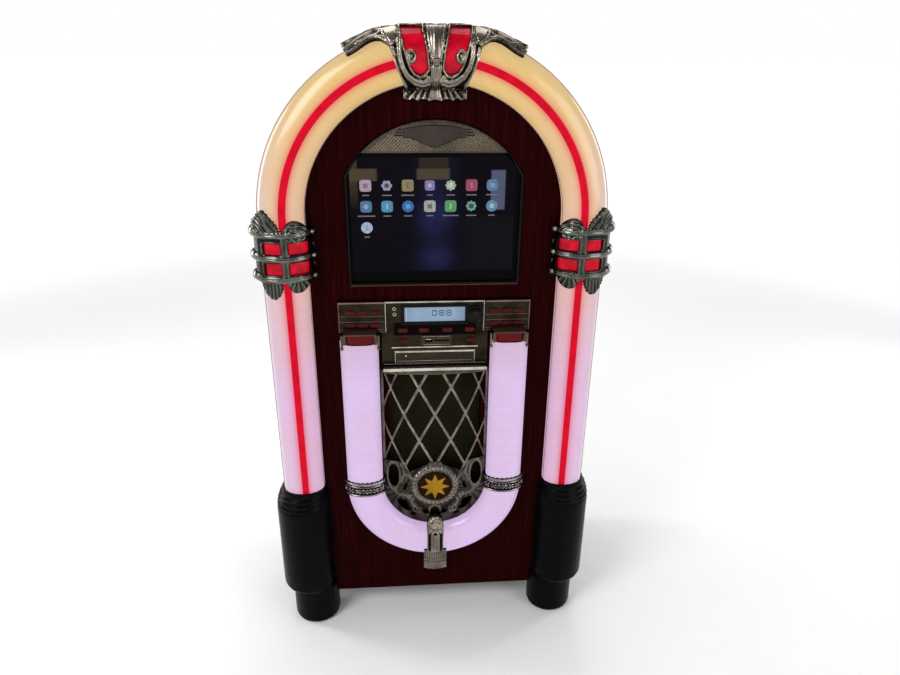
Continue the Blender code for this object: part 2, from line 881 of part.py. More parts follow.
def make_tubes():
    """Outer arch and columns, the inner U, the red stripe and the light strips inside."""
    diffuser = finish("arch_diffuser", (0.93, 0.80, 0.55), 0.3, 0.0, 0.6)
    column = finish("column_diffuser", (0.93, 0.83, 0.88), 0.3, 0.0, 0.6)
    inner = finish("inner_diffuser", (0.88, 0.80, 0.95), 0.3, 0.0, 0.8)
    red = finish("stripe_red", (0.75, 0.01, 0.03), 0.25, 0.0, 0.3)
    strip = finish("led_strip_board", (0.85, 0.85, 0.8), 0.5)

    profile = hollow_dome(tube_width, tube_side, tube_bulge, tube_wall, tube_arc_steps)
    joint = tube_joint_height + gap / 2
    foot = boot_height - boot_socket_depth + gap
    build("arch_tube", sweep(profile, arch_path(tube_centre_radius, joint, tube_segments)), diffuser)
    for side, label in ((-1, "left"), (1, "right")):
        path = leg_path(tube_centre_radius, side, foot, joint - gap)
        build(f"{label}_column_tube", sweep(profile, path), column)

    u_profile = hollow_dome(inner_tube_width, tube_side, inner_tube_bulge, tube_wall, tube_arc_steps)
    u_path = bow_path(inner_centre, inner_tube_top, inner_bow_height, inner_segments)
    build("inner_tube", sweep(u_profile, u_path), inner)

    stripe = bar_profile(stripe_width, tube_bulge + gap, tube_bulge + gap + stripe_thickness)
    build("red_stripe", sweep(stripe, arch_path(tube_centre_radius, foot, tube_segments)), red)

    led = bar_profile(led_width, gap, gap + led_thickness)
    build(
        "outer_led_strip", sweep(led, arch_path(tube_centre_radius, foot + led_width, led_segments)), strip,
    )
    u_top = inner_tube_top - led_width
    build("inner_led_strip", sweep(led, bow_path(inner_centre, u_top, inner_bow_height, led_segments)), strip)


def clamp_columns():
    """Columns of a clamp round the tube: turn, skin, share of the knuckle, top crest, bottom skirt.

    The first and the last stand on the face at the inner and the outer edge.
    """
    columns = []
    for index, turn in enumerate(clamp_turns):
        outward = turn > 90
        skin = clamp_rim_skin if turn == 180 else clamp_skin
        crest = clamp_outer_crest if outward else clamp_inner_crest
        skirt = clamp_outer_skirt if outward else clamp_inner_skirt
        lobe_share = clamp_lobe_shares[index]
        columns.append((turn, skin, clamp_knuckle_shares[index], lobe_share * crest, lobe_share * skirt))
    return columns


def clamp_rows():
    """Rows of a clamp from the skirt up: level, share of the lobes, relief, share of the knuckle."""
    top = clamp_low + clamp_height
    rows = [
        (clamp_low, -1.0, 0.0, 0.0), (clamp_low, -0.5, clamp_groove / 2, 0.0), (clamp_low, 0.0, 0.0, 0.0),
    ]
    for index in range(3):
        start = clamp_low + index * (clamp_bar_height + clamp_window_height)
        rows.append((start + clamp_bar_height / 2, 0.0, clamp_bar_relief, 1.0))
        rows.append((start + clamp_bar_height, 0.0, 0.0, 0.0))
        if index < 2:
            window = start + clamp_bar_height
            rows.append((window + clamp_window_height / 2, 0.0, 0.0, clamp_window_knuckle_share))
            rows.append((window + clamp_window_height, 0.0, 0.0, 0.0))
    rows.append((top, 0.5, clamp_groove / 2, 0.0))
    rows.append((top, 1.0, 0.0, 0.0))
    return rows


def make_clamps():
    """Barred metal clamps over the joints of the outer tubes, each with its red lens insert."""
    metal = finish("clamp_chrome", (0.62, 0.62, 0.60), 0.12, 1.0)
    red = finish("lens_red", (0.75, 0.01, 0.02), 0.15, 0.0, 0.3)
    columns = clamp_columns()
    rows = clamp_rows()
    last = len(columns) - 1
    window_rows = (5, 6, 9, 10)
    window_columns = (3, 4, 6, 7)
    lens_rows = ((5, 7), (9, 11))
    lens_columns = ((3, 4, 5), (6, 7, 8))
    slip = math.degrees(gap / (tube_width / 2))

    def shell_present(row, column):
        return not (row in window_rows and column in window_columns)

    for side, label in ((-1, "left"), (1, "right")):
        outer = []
        inner = []
        for level, crest_share, relief, knuckle_share in rows:
            outer_row = []
            inner_row = []
            for column, (turn, skin, knuckle, crest, skirt) in enumerate(columns):
                height = level + crest_share * (crest if crest_share > 0 else skirt)
                lump = clamp_knuckle * knuckle * knuckle_share
                top = cover_under + skin + relief + lump
                for row, offset in ((outer_row, top), (inner_row, cover_under)):
                    across, reach = over_tube(turn, offset)
                    reach = gap if column in (0, last) else reach
                    row.append((side * (tube_centre_radius + across), front(reach), height))
            outer.append(outer_row)
            inner.append(inner_row)
        build(f"{label}_clamp", clad(outer, inner, shell_present), metal)

        levels = []
        for first, second in lens_rows:
            levels.append((rows[first][0] + gap, True))
            levels.append((rows[second][0] - gap, True))
        levels[2:2] = [(levels[1][0] + gap, False), (levels[2][0] - gap, False)]
        turns = []
        for run in lens_columns:
            first, middle, second = (columns[column][0] for column in run)
            turns += [(first + slip, True), (middle, True), (second - slip, True)]
        turns[3:3] = [(turns[2][0] + slip, False), (turns[3][0] - slip, False)]
        outer = []
        inner = []
        for level, pad_row in levels:
            outer_row = []
            inner_row = []
            for turn, pad_column in turns:
                proud = pad_row and pad_column
                top = cover_under + clamp_skin - lens_recess if proud else shell_under + lens_sheet
                for row, offset in ((outer_row, top), (inner_row, shell_under)):
                    across, reach = over_tube(turn, offset)
                    row.append((side * (tube_centre_radius + across), front(reach), level))
            outer.append(outer_row)
            inner.append(inner_row)
        build(f"{label}_clamp_lens", clad(outer, inner, lambda row, column: True), red)


def crown_rows():
    """Rows of the crown from the outer rim inwards: kind, turn or bracket share, width share, skin."""
    return [(kind, place, width, share * crown_skin) for kind, place, width, share in crown_row_shares]


def crown_point(kind, place, angle, offset, under):
    """A point of the crown at an angle from the middle of the arch."""
    if kind == "flat":
        across = -(tube_width / 2 + cover_under + crown_skin / 2 + crown_bracket_length * place)
        reach = gap if under else tube_side + offset - cover_under
    else:
        across, reach = over_tube(place, offset)
        reach = gap if kind == "ground" else reach
    radius = tube_centre_radius + across
    return radius * math.sin(angle), front(reach), arch_centre_height + radius * math.cos(angle)


def make_crown():
    """Flared crown over the top of the arch with leaf wings and two red windows."""
    metal = finish("crown_chrome", (0.62, 0.62, 0.60), 0.12, 1.0)
    red = finish("crown_lens_red", (0.75, 0.01, 0.02), 0.15, 0.0, 0.3)
    rows = crown_rows()
    shares = [-share for share in reversed(crown_column_shares)] + [0.0] + list(crown_column_shares)
    steps = crown_wing_steps
    wing_rows = (1, 2, 3)
    window_rows = (3, 4, 5, 6)
    left_window = (steps + 2, steps + 3)
    right_window = (steps + 8, steps + 9)
    ridges = (0, 3, 6, 9, 12)
    columns = len(shares) + 2 * steps

    def beyond(column):
        body = column - steps
        if body < 0:
            return -1, -body
        if body >= len(shares):
            return 1, body - len(shares) + 1
        return 0, 0

    def place_of(row, column):
        kind, place, width_share, skin = rows[row]
        half = width_share * crown_half_angle
        side, step = beyond(column)
        if side == 0:
            body = column - steps
            in_window = kind == "tube" and body in ridges and body not in (3, 9)
            relief = crown_relief if in_window or (kind == "flat" and body % 2 == 0) else 0.0
            return shares[body] * half, place, cover_under + skin + relief
        angle = side * (half + (crown_wing_angle - half) * step / steps)
        if row in wing_rows:
            place += (rows[wing_rows[0]][1] - place) * wing_taper_share * step / steps
        return angle, place, cover_under + crown_wing_skin

    outer = []
    inner = []
    for row, (kind, _, _, _) in enumerate(rows):
        outer_row = []
        inner_row = []
        for column in range(columns):
            angle, place, offset = place_of(row, column)
            outer_row.append(crown_point(kind, place, angle, offset, False))
            inner_row.append(crown_point(kind, place, angle, cover_under, True))
        outer.append(outer_row)
        inner.append(inner_row)

    def present(row, column):
        body = column - steps
        if not 0 <= body < len(shares) - 1:
            return row in wing_rows[:-1]
        return not (row in window_rows and column in left_window + right_window)

    build("crown", clad(outer, inner, present), metal)

    slip = gap / (tube_centre_radius - tube_width / 2)
    turn_slip = math.degrees(gap / (tube_width / 2))
    edges = []
    for window in (left_window, right_window):
        first = window[0] - steps
        edges.append([(shares[first], 1, True), (shares[first + 1], 0, True), (shares[first + 2], -1, True)])
    angles = edges[0] + [(share, 0, False) for share in shares[4:9]] + edges[1]
    outer = []
    inner = []
    for row in range(window_rows[0], window_rows[-1] + 2):
        kind, place, width_share, skin = rows[row]
        place += -turn_slip if row == window_rows[0] else turn_slip if row == window_rows[-1] + 1 else 0.0
        half = width_share * crown_half_angle
        outer_row = []
        inner_row = []
        for share, direction, pad in angles:
            angle = share * half + direction * slip
            top = cover_under + skin - lens_recess if pad else shell_under + lens_sheet
            outer_row.append(crown_point(kind, place, angle, top, False))
            inner_row.append(crown_point(kind, place, angle, shell_under, False))
        outer.append(outer_row)
        inner.append(inner_row)
    build("crown_lens", clad(outer, inner, lambda row, column: True), red)


def make_window():
    """Slim frame in the window opening, the embossed header and the touch screen."""
    black = finish("frame_black", (0.02, 0.015, 0.015), 0.3)
    silver = finish("header_silver", (0.55, 0.55, 0.53), 0.25, 1.0)
    glass = finish("screen_glass", (0.01, 0.012, 0.03), 0.05)
    frame = build(
        "window_frame",
        prism_y(window_outline(gap), front(frame_reach), behind(frame_depth)), black,
    )
    opening = window_outline(gap + frame_wall)
    boolean(frame, prism_y(opening, front(frame_reach + cut_overrun), behind(frame_depth + cut_overrun)))

    low = window_low + gap + frame_wall + gap
    screen = box(
        -screen_half_width + gap, screen_half_width - gap, behind(screen_set_back),
        behind(screen_set_back + screen_thickness), low, screen_top,
    )
    screen_piece = build("touch_screen", screen, glass)
    outline = window_outline(2 * gap + frame_wall)
    keep = prism_y(outline, front(cut_overrun), behind(screen_set_back + screen_thickness + cut_overrun))
    boolean(screen_piece, keep, "INTERSECT")

    header = build(
        "header_plate",
        prism_y(outline, behind(header_set_back), behind(header_set_back + header_thickness)), silver,
    )
    below = box(
        -window_half_width, window_half_width, front(cut_overrun),
        behind(header_set_back + header_thickness + cut_overrun), base_height, screen_top + gap,
    )
    boolean(header, below)


def make_fascia():
    """T-shaped control fascia with its tube heads and ledge, and all its holes."""
    metal = finish("fascia_chrome", (0.33, 0.33, 0.31), 0.2, 1.0)
    wide = fascia_half_width
    slim = fascia_centre_half_width
    outline = [
        (-wide, fascia_top), (wide, fascia_top), (wide, fascia_wing_low), (slim, fascia_wing_low),
        (slim, fascia_low), (-slim, fascia_low), (-slim, fascia_wing_low), (-wide, fascia_wing_low),
    ]
    fascia = build("control_fascia", prism_y(outline, front(gap + fascia_thickness), front(gap)), metal)
    head_low = inner_tube_top + gap
    head_high = head_low + head_height
    heads = []
    for side in (-1, 1):
        profile = dome(head_half_width + gap, tube_side, head_reach, tube_arc_steps, gap + weld)
        heads.append(sweep(profile, leg_path(inner_centre, side, head_low, head_high + weld)))
    boolean(fascia, merge(*heads), "UNION")
    ledge = [
        (front(fascia_thickness / 2), fascia_low + weld),
        (front(fascia_thickness / 2), fascia_low + ledge_height),
        (front(ledge_reach), fascia_low + ledge_height),
        (front(ledge_reach + ledge_height / 3), fascia_low + ledge_height / 2),
        (front(ledge_reach), fascia_low + weld),
    ]
    boolean(fascia, prism_x(ledge, -slim + weld, slim - weld), "UNION")

    near = front(fascia_thickness + cut_overrun)
    far = behind(cut_overrun)
    cuts = []
    for _, x, z in key_places():
        cuts.append(prism_y(shifted(lozenge(key_half_length + gap, key_half_height + gap), x, z), near, far))
    cuts.append(box(
        -lcd_half_width - gap, lcd_half_width + gap, near, far, lcd_low - gap, lcd_low + lcd_height + gap,
    ))
    inner_half = port_half_width - port_flange + gap
    cuts.append(box(
        port_centre - inner_half, port_centre + inner_half, near, far,
        port_low + port_flange - gap, port_low + port_height - port_flange + gap,
    ))
    cuts.append(turned_y(
        [(knob_shaft_radius + gap, near), (knob_shaft_radius + gap, far)],
        knob_centre, knob_level, socket_sides,
    ))
    for level in socket_levels:
        cuts.append(turned_y([(socket_radius, near), (socket_radius, far)], -knob_centre, level, socket_sides))
    half = drawer_front_half_width + gap
    cuts.append(box(
        -half, half, near, far, drawer_front_low - gap, drawer_front_low + drawer_front_height + gap,
    ))
    boolean(fascia, merge(*cuts))

    red = finish("head_lens_red", (0.75, 0.01, 0.02), 0.15, 0.0, 0.3)
    lens_cuts = []
    for side, label in ((-1, "left"), (1, "right")):
        for inset in (0.0, gap):
            profile = dome(head_half_width + gap, tube_side, head_reach, tube_arc_steps)
            inside = [point for point in profile if abs(point[0]) <= head_lens_half_width]
            edge = head_lens_half_width - inset
            reach_at_edge = tube_side + (head_reach - tube_side) * math.sqrt(
                1 - (edge / (head_half_width + gap)) ** 2)
            proud = -lens_recess if inset else cut_overrun
            top_line = [(-edge, reach_at_edge + proud)]
            top_line += [(across, reach + proud) for across, reach in inside]
            top_line.append((edge, reach_at_edge + proud))
            sunk = head_reach - lens_recess - head_lens_depth * 2 + inset
            closed = top_line + [(edge, sunk), (-edge, sunk)]
            low = head_low + head_lens_margin + inset
            high = head_high - head_lens_margin - inset
            lens = sweep(closed, leg_path(inner_centre, side, low, high))
            if inset:
                build(f"{label}_head_lens", lens, red)
            else:
                lens_cuts.append(lens)
    boolean(fascia, merge(*lens_cuts))


def make_keys():
    """Red push keys, each with a flange behind the fascia, free to travel inwards."""
    red = finish("key_red", (0.45, 0.012, 0.02), 0.25)
    cap = lozenge(key_half_length, key_half_height)
    flange = lozenge(key_half_length + key_flange, key_half_height + key_flange)
    dish = lozenge(key_half_length - key_flange, key_half_height - key_flange)
    for name, x, z in key_places():
        rings = []
        for outline, y in (
            (flange, behind(key_flange_thickness)), (flange, behind(gap)), (cap, behind(gap)),
            (cap, front(fascia_thickness + key_proud - key_flange / 2)),
            (dish, front(fascia_thickness + key_proud)),
        ):
            rings.append([(px, y, pz) for px, pz in shifted(outline, x, z)])
        build(name, loft(rings), red, (x, front(fascia_thickness), z))


def make_display_board():
    """Circuit board behind the keys, with the display block that fills its window."""
    board_green = finish("display_board", (0.45, 0.68, 0.85), 0.3, 0.0, 0.3)
    near = behind(board_set_back)
    far = near + board_thickness
    wide = fascia_half_width - bay_margin - board_margin
    top = fascia_top - bay_margin - board_margin
    wing = fascia_wing_low + bay_margin / 2 + board_margin
    tab_low = drawer_front_low + drawer_front_height + bay_margin
    slim = bay_centre_half_width - board_margin
    notch_left = port_centre - port_half_width
    notch_right = port_centre + port_half_width
    notch_top = port_low + port_height + board_margin / 2
    outline = [
        (-wide, top), (wide, top), (wide, wing), (slim, wing), (slim, tab_low), (notch_right, tab_low),
        (notch_right, notch_top), (notch_left, notch_top), (notch_left, tab_low), (-slim, tab_low),
        (-slim, wing), (-wide, wing),
    ]
    board = build("display_board", prism_y(outline, near, far), board_green)
    block = box(
        -lcd_half_width, lcd_half_width, front(gap + fascia_thickness - lcd_recess), near + weld,
        lcd_low, lcd_low + lcd_height,
    )
    boolean(board, block, "UNION")


def make_knob():
    """Volume knob with a grip rim and a shaft that reaches the board."""
    black = finish("knob_black", (0.015, 0.015, 0.018), 0.15)
    seat = front(gap + fascia_thickness + gap)
    profile = [
        (knob_shaft_radius, behind(board_set_back - gap)),
        (knob_shaft_radius, seat),
        (knob_radius, seat),
        (knob_radius - knob_rim, seat - knob_height * knob_grip_share),
        (knob_radius - 2 * knob_rim, seat - knob_height),
        (knob_radius / 2, seat - knob_height + knob_rim / 2),
    ]
    knob = build(
        "volume_knob", turned_y(profile, knob_centre, knob_level, knob_sides), black,
        (knob_centre, seat, knob_level),
    )
    pointer_low = knob_level + knob_radius / 2
    pointer = box(
        knob_centre - knob_rim / 2, knob_centre + knob_rim / 2, seat - knob_height - cut_overrun,
        seat - knob_height + knob_rim, pointer_low, knob_level + knob_radius + cut_overrun,
    )
    boolean(knob, pointer)


def make_port_plate():
    """Plate with a memory stick socket and a card slot."""
    metal = finish("port_chrome", (0.6, 0.6, 0.6), 0.15, 1.0)
    seat = front(gap + fascia_thickness + gap)
    plate_front = seat - port_flange_thickness
    back = plate_front + port_body_depth
    plate = build(
        "usb_port_plate",
        box(
            port_centre - port_half_width, port_centre + port_half_width, plate_front, seat,
            port_low, port_low + port_height,
        ),
        metal,
    )
    inner_half = port_half_width - port_flange
    body = box(
        port_centre - inner_half, port_centre + inner_half, seat - weld, back,
        port_low + port_flange, port_low + port_height - port_flange,
    )
    boolean(plate, body, "UNION")
    middle = port_low + port_height / 2
    usb_centre = port_centre - port_half_width / 2
    card_centre = port_centre + inner_half - card_half_width - port_flange / 2
    sockets = merge(
        box(
            usb_centre - usb_half_width, usb_centre + usb_half_width, plate_front - cut_overrun,
            plate_front + usb_depth, middle - usb_height / 2, middle + usb_height / 2,
        ),
        box(
            card_centre - card_half_width, card_centre + card_half_width, plate_front - cut_overrun,
            plate_front + usb_depth, middle - card_height / 2, middle + card_height / 2,
        ),
    )
    boolean(plate, sockets)


def gear_outline(teeth, radius):
    """Outline of a small spur gear about its own axis, with a tooth pointing along -X."""
    outline = []
    tip = radius + gear_module * tooth_addendum_share
    root = radius - gear_module * tooth_dedendum_share
    half = tooth_pitch * (0.25 - tooth_backlash_share / 2)
    slope = gear_module * tooth_slope_share
    tooth = ((root, -half - slope), (tip, -half + slope), (tip, half - slope), (root, half + slope))
    for index in range(teeth):
        turn = math.pi + math.tau * index / teeth
        for reach, across in tooth:
            outline.append((
                reach * math.cos(turn) - across * math.sin(turn),
                reach * math.sin(turn) + across * math.cos(turn),
            ))
    return outline


def make_drive():
    """Drive housing, drawer with its rack, drive pinion and turntable."""
    steel = finish("drive_steel", (0.45, 0.46, 0.47), 0.35, 1.0)
    black = finish("drawer_black", (0.03, 0.03, 0.03), 0.3)
    white = finish("pinion_nylon", (0.8, 0.8, 0.76), 0.45)
    grey = finish("turntable_grey", (0.25, 0.25, 0.26), 0.4)

    cavity_low = bay_low + gap + drive_wall
    rail_top = drawer_body_low - gap
    inner_half = drawer_body_half_width + gap
    outer_half = inner_half + drive_wall
    top = bay_low + gap + drive_height
    far = behind(drive_length)
    housing = build(
        "cd_drive_housing", box(-outer_half, outer_half, behind(gap), far, bay_low + gap, top), steel,
    )
    upper = box(
        -inner_half, inner_half, front(cut_overrun), far - drive_wall, rail_top, top - drive_wall,
    )
    lower_half = inner_half - drive_rail_width
    lower = box(
        -lower_half, lower_half, front(cut_overrun), far - drive_wall, cavity_low, rail_top + weld,
    )
    boolean(housing, upper)
    boolean(housing, lower)

    drawer_front = front(drawer_front_reach)
    drawer_seat = drawer_front + drawer_front_thickness
    drawer_end = drawer_seat + drawer_length
    body_top = drawer_body_low + drawer_body_height
    drawer = build(
        "cd_tray",
        box(
            -drawer_front_half_width, drawer_front_half_width, drawer_front, drawer_seat,
            drawer_front_low, drawer_front_low + drawer_front_height,
        ),
        black, (0.0, drawer_front, drawer_front_low),
    )
    body = box(
        -drawer_body_half_width, drawer_body_half_width, drawer_seat - weld, drawer_end,
        drawer_body_low, body_top,
    )
    boolean(drawer, body, "UNION")
    disc_y = behind(disc_set_back)
    recess = turned_z(
        [(disc_radius, body_top - disc_recess), (disc_radius, body_top + cut_overrun)],
        0.0, disc_y, disc_sides,
    )
    boolean(drawer, recess)
    slot_start = disc_y - drawer_slot_half_width
    slot = box(
        -drawer_slot_half_width, drawer_slot_half_width, slot_start, drawer_end + cut_overrun,
        drawer_body_low - cut_overrun, body_top + cut_overrun,
    )
    boolean(drawer, slot)

    pinion_y = behind(pinion_set_back)
    outline = []
    rack_start = drawer_seat + tooth_pitch
    back_line = -rack_line - rack_thickness
    first = math.ceil((rack_start - pinion_y) / tooth_pitch)
    last = math.floor((drawer_end - pinion_y) / tooth_pitch) - 1
    root = -rack_line - gear_module * tooth_dedendum_share
    tip = -rack_line + gear_module * tooth_addendum_share
    half = tooth_pitch * (0.25 - tooth_backlash_share / 2)
    slope = gear_module * tooth_slope_share
    outline.append((back_line, pinion_y + first * tooth_pitch))
    for index in range(first, last):
        middle = pinion_y + (index + 0.5) * tooth_pitch
        outline.append((root, middle - half - slope))
        outline.append((tip, middle - half + slope))
        outline.append((tip, middle + half - slope))
        outline.append((root, middle + half + slope))
    outline.append((back_line, pinion_y + last * tooth_pitch))
    rack_low = cavity_low + 2 * gap
    boolean(drawer, prism_z(outline, rack_low, drawer_body_low + weld), "UNION")

    pinion_x = pitch_radius - rack_line
    gear = [(pinion_x + x, pinion_y + y) for x, y in gear_outline(pinion_teeth, pitch_radius)]
    pinion = build(
        "tray_pinion", prism_z(gear, rack_low + 2 * gap, rail_top - 2 * gap), white,
        (pinion_x, pinion_y, cavity_low),
    )
    boss = turned_z(
        [(pinion_shaft_radius, cavity_low + gap), (pinion_shaft_radius, rack_low + 4 * gap)],
        pinion_x, pinion_y, socket_sides,
    )
    boolean(pinion, boss, "UNION")

    disc_floor = body_top - disc_recess
    plate_top = disc_floor + turntable_drop
    turntable = turned_z(
        [
            (turntable_shaft_radius, cavity_low + gap),
            (turntable_shaft_radius, disc_floor - turntable_drop),
            (turntable_radius, disc_floor - turntable_drop),
            (turntable_radius, plate_top),
            (turntable_hub_radius, plate_top),
            (turntable_hub_radius * turntable_hub_share, plate_top + turntable_hub_height),
        ],
        0.0, disc_y, turntable_sides,
    )
    build("cd_turntable", turntable, grey, (0.0, disc_y, plate_top))


def make_collars():
    """Beaded chrome collars round the inner tube where its legs meet the bow."""
    metal = finish("collar_chrome", (0.62, 0.62, 0.60), 0.15, 1.0)
    steps = 2 * collar_bead_count
    for side, label in ((-1, "left"), (1, "right")):
        rings = []
        for step in range(steps + 1):
            level = collar_low + collar_height * step / steps
            skin = collar_skin + (collar_bead if step % 2 else 0.0)
            outside = dome(
                inner_tube_width / 2 + skin, tube_side, inner_tube_bulge + skin, tube_arc_steps, gap,
            )
            inside = dome(
                inner_tube_width / 2 + 2 * gap, tube_side, inner_tube_bulge + gap, tube_arc_steps, gap,
            )
            section = outside[1:] + inside[:0:-1]
            rings.append([(side * (inner_centre + across), front(reach), level) for across, reach in section])
        build(f"{label}_collar", loft(rings), metal)


def lattice_bar_body(start_angle, slope, near, far):
    """One lattice bar that winds over the bulge, as a flat strip before it is bent."""
    drop = lattice_row_height / lattice_pitch_angle
    limit = math.asin((grille_half_width - grille_rim / 2) / grille_ellipse_half_width)
    angle = start_angle
    z = grille_top - grille_rim / 2
    path = [(grille_ellipse_half_width * math.sin(angle), z)]
    while slope * angle < limit:
        following = slope * min(slope * angle + lattice_step, limit)
        run = abs(following - angle)
        x = grille_ellipse_half_width * math.sin(following)
        room = path[-1][1] - scroll_top(x) + lattice_root
        if run * drop > room:
            share = room / (run * drop)
            x = grille_ellipse_half_width * math.sin(angle + share * (following - angle))
            path.append((x, path[-1][1] - room))
            break
        path.append((x, path[-1][1] - run * drop))
        angle = following
    left = []
    right = []
    for index, (x, z) in enumerate(path):
        before = path[max(index - 1, 0)]
        after = path[min(index + 1, len(path) - 1)]
        run = math.hypot(after[0] - before[0], after[1] - before[1])
        across_x = (before[1] - after[1]) / run * lattice_bar / 2
        across_z = (after[0] - before[0]) / run * lattice_bar / 2
        left.append((x + across_x, z + across_z))
        right.append((x - across_x, z - across_z))
    return prism_y(left + right[::-1], near, far)


def scroll_top(x):
    """Height of the upper edge of the scrollwork at a distance from the middle."""
    share = abs(x) / grille_half_width
    ring_top = medallion_height + medallion_radius + medallion_ring / 2
    arm_top = medallion_height + medallion_radius
    rim_top = scroll_oval_height + scroll_oval_half_height + grille_rim
    bases = (ring_top, ring_top, arm_top, arm_top, arm_top)
    levels = [base + rise * medallion_ring for base, rise in zip(bases, scroll_rise_shares)]
    levels += [rim_top, rim_top]
    knots = list(zip(scroll_knot_shares, levels))
    for (low_share, low), (high_share, high) in zip(knots, knots[1:]):
        if share <= high_share:
            return low + (high - low) * (share - low_share) / (high_share - low_share)
    return knots[-1][1]


def make_grille():
    """Bulging diamond lattice with scrollwork, its medallion and the dark cloth behind."""
    metal = finish("grille_chrome", (0.40, 0.40, 0.38), 0.2, 1.0)
    brown = finish("medallion_gold", (0.80, 0.55, 0.10), 0.3, 0.6)
    cloth = finish("grille_cloth", (0.015, 0.015, 0.02), 0.9)

    outline = []
    for step in range(scroll_steps + 1):
        x = grille_half_width * (2 * step / scroll_steps - 1)
        outline.append((x, scroll_top(x)))
    for index in range(inner_segments + 1):
        turn = -math.pi * index / inner_segments
        x = grille_half_width * math.cos(turn)
        outline.append((x, inner_bow_height + grille_half_width * math.sin(turn)))
    casting = build("grille_casting", prism_y(outline, 0.0, grille_thickness), metal)
    near = -medallion_ring_relief - cut_overrun
    far = grille_thickness + cut_overrun
    ring = turned_y(
        [
            (medallion_radius + medallion_ring, grille_thickness / 2),
            (medallion_radius + medallion_ring * medallion_ring_shares[0], -medallion_ring_relief),
            (medallion_radius + medallion_ring * medallion_ring_shares[1], -medallion_ring_relief),
            (medallion_radius * medallion_dish_share, grille_thickness / 4),
        ],
        0.0, medallion_height, medallion_sides,
    )
    boolean(casting, ring, "UNION")
    rim_low = scroll_oval_height
    inset = lattice_inset
    rim_half = grille_half_width - inset
    inside = grille_half_width - grille_rim
    rails = [(-rim_half, rim_low), (-rim_half, grille_top), (rim_half, grille_top), (rim_half, rim_low)]
    rails.append((inside, rim_low))
    for index in range(bow_count + 1):
        rails.append((inside * (1 - 2 * index / bow_count), grille_top - grille_rim))
    rails.append((-inside, rim_low))
    boolean(casting, prism_y(rails, inset, grille_thickness - inset), "UNION")
    for slope, inset in ((1, 2 * lattice_inset), (-1, 3 * lattice_inset)):
        bars = []
        for index in range(-4, 5):
            fall = grille_top - grille_rim / 2 - lattice_middle_row
            start = (index - slope * fall / lattice_row_height) * lattice_pitch_angle
            limit = math.asin((grille_half_width - grille_rim / 2) / grille_ellipse_half_width)
            if abs(start) < limit:
                bars.append(lattice_bar_body(start, slope, inset, grille_thickness - inset))
        boolean(casting, merge(*bars), "UNION")

    curls = []
    for side in (-1, 1):
        curl = circle(curl_radius, curl_sides, (side * curl_centre, curl_height))
        curls.append(prism_y(curl, -lattice_inset, grille_thickness / 2))
    boolean(casting, merge(*curls), "UNION")
    hole_radius = medallion_radius + gap
    holes = [turned_y([(hole_radius, near), (hole_radius, far)], 0.0, medallion_height, medallion_sides)]
    for side in (-1, 1):
        oval = circle(
            scroll_oval_half_width, curl_sides, (side * scroll_oval_centre, scroll_oval_height),
            scroll_oval_half_height / scroll_oval_half_width,
        )
        holes.append(prism_y(oval, near, far))
        crescent = []
        for radius, first, last in ((crescent_outer_radius, 19, 47), (crescent_inner_radius, 44, 23)):
            for step in range(crescent_steps + 1):
                turn = -math.radians(first + (last - first) * step / crescent_steps)
                crescent.append((side * radius * math.cos(turn), inner_bow_height + radius * math.sin(turn)))
        holes.append(prism_y(crescent, near, far))
        eye = circle(curl_hole_radius, curl_sides, (side * curl_centre, curl_height))
        holes.append(prism_y(eye, near, far))
    boolean(casting, merge(*holes))
    mesh = settle(casting)
    for vertex in mesh.vertices:
        x, y, z = vertex.co
        vertex.co.y = front(gap + grille_thickness) + y - grille_rise(x, z)
    casting.data.shade_smooth()
    casting.data.set_sharp_from_angle(angle=math.radians(35))

    seat = front(gap + grille_thickness + grille_bulge + medallion_ring_relief)
    disc = build(
        "medallion",
        turned_y(
            [(medallion_radius, seat + medallion_thickness), (medallion_radius, seat + star_relief / 2)],
            0.0, medallion_height, medallion_sides,
        ),
        brown,
    )
    star = []
    for index in range(2 * star_point_count):
        radius = star_radius if index % 2 == 0 else star_radius * star_waist_share
        turn = math.pi / 2 + math.pi * index / star_point_count
        star.append((radius * math.cos(turn), medallion_height + radius * math.sin(turn)))
    boolean(disc, prism_y(star, seat - star_relief / 2, seat + star_relief), "UNION")

    panel = bow_outline(
        opening_half_width + grille_rim, opening_top + grille_rim / 2, inner_bow_height, inner_segments,
    )
    back = face_thickness + gap
    build("grille_cloth", prism_y(panel, behind(back), behind(back + cloth_thickness)), cloth)


def grille_rise(x, z):
    """How far the bulge of the grille lifts a point in front of its rim."""
    radius = abs(x) if z > inner_bow_height else math.hypot(x, z - inner_bow_height)
    share = min(radius, grille_half_width) / grille_ellipse_half_width
    edge = math.sqrt(1 - (grille_half_width / grille_ellipse_half_width) ** 2)
    return grille_bulge * (math.sqrt(1 - share * share) - edge) / (1 - edge)


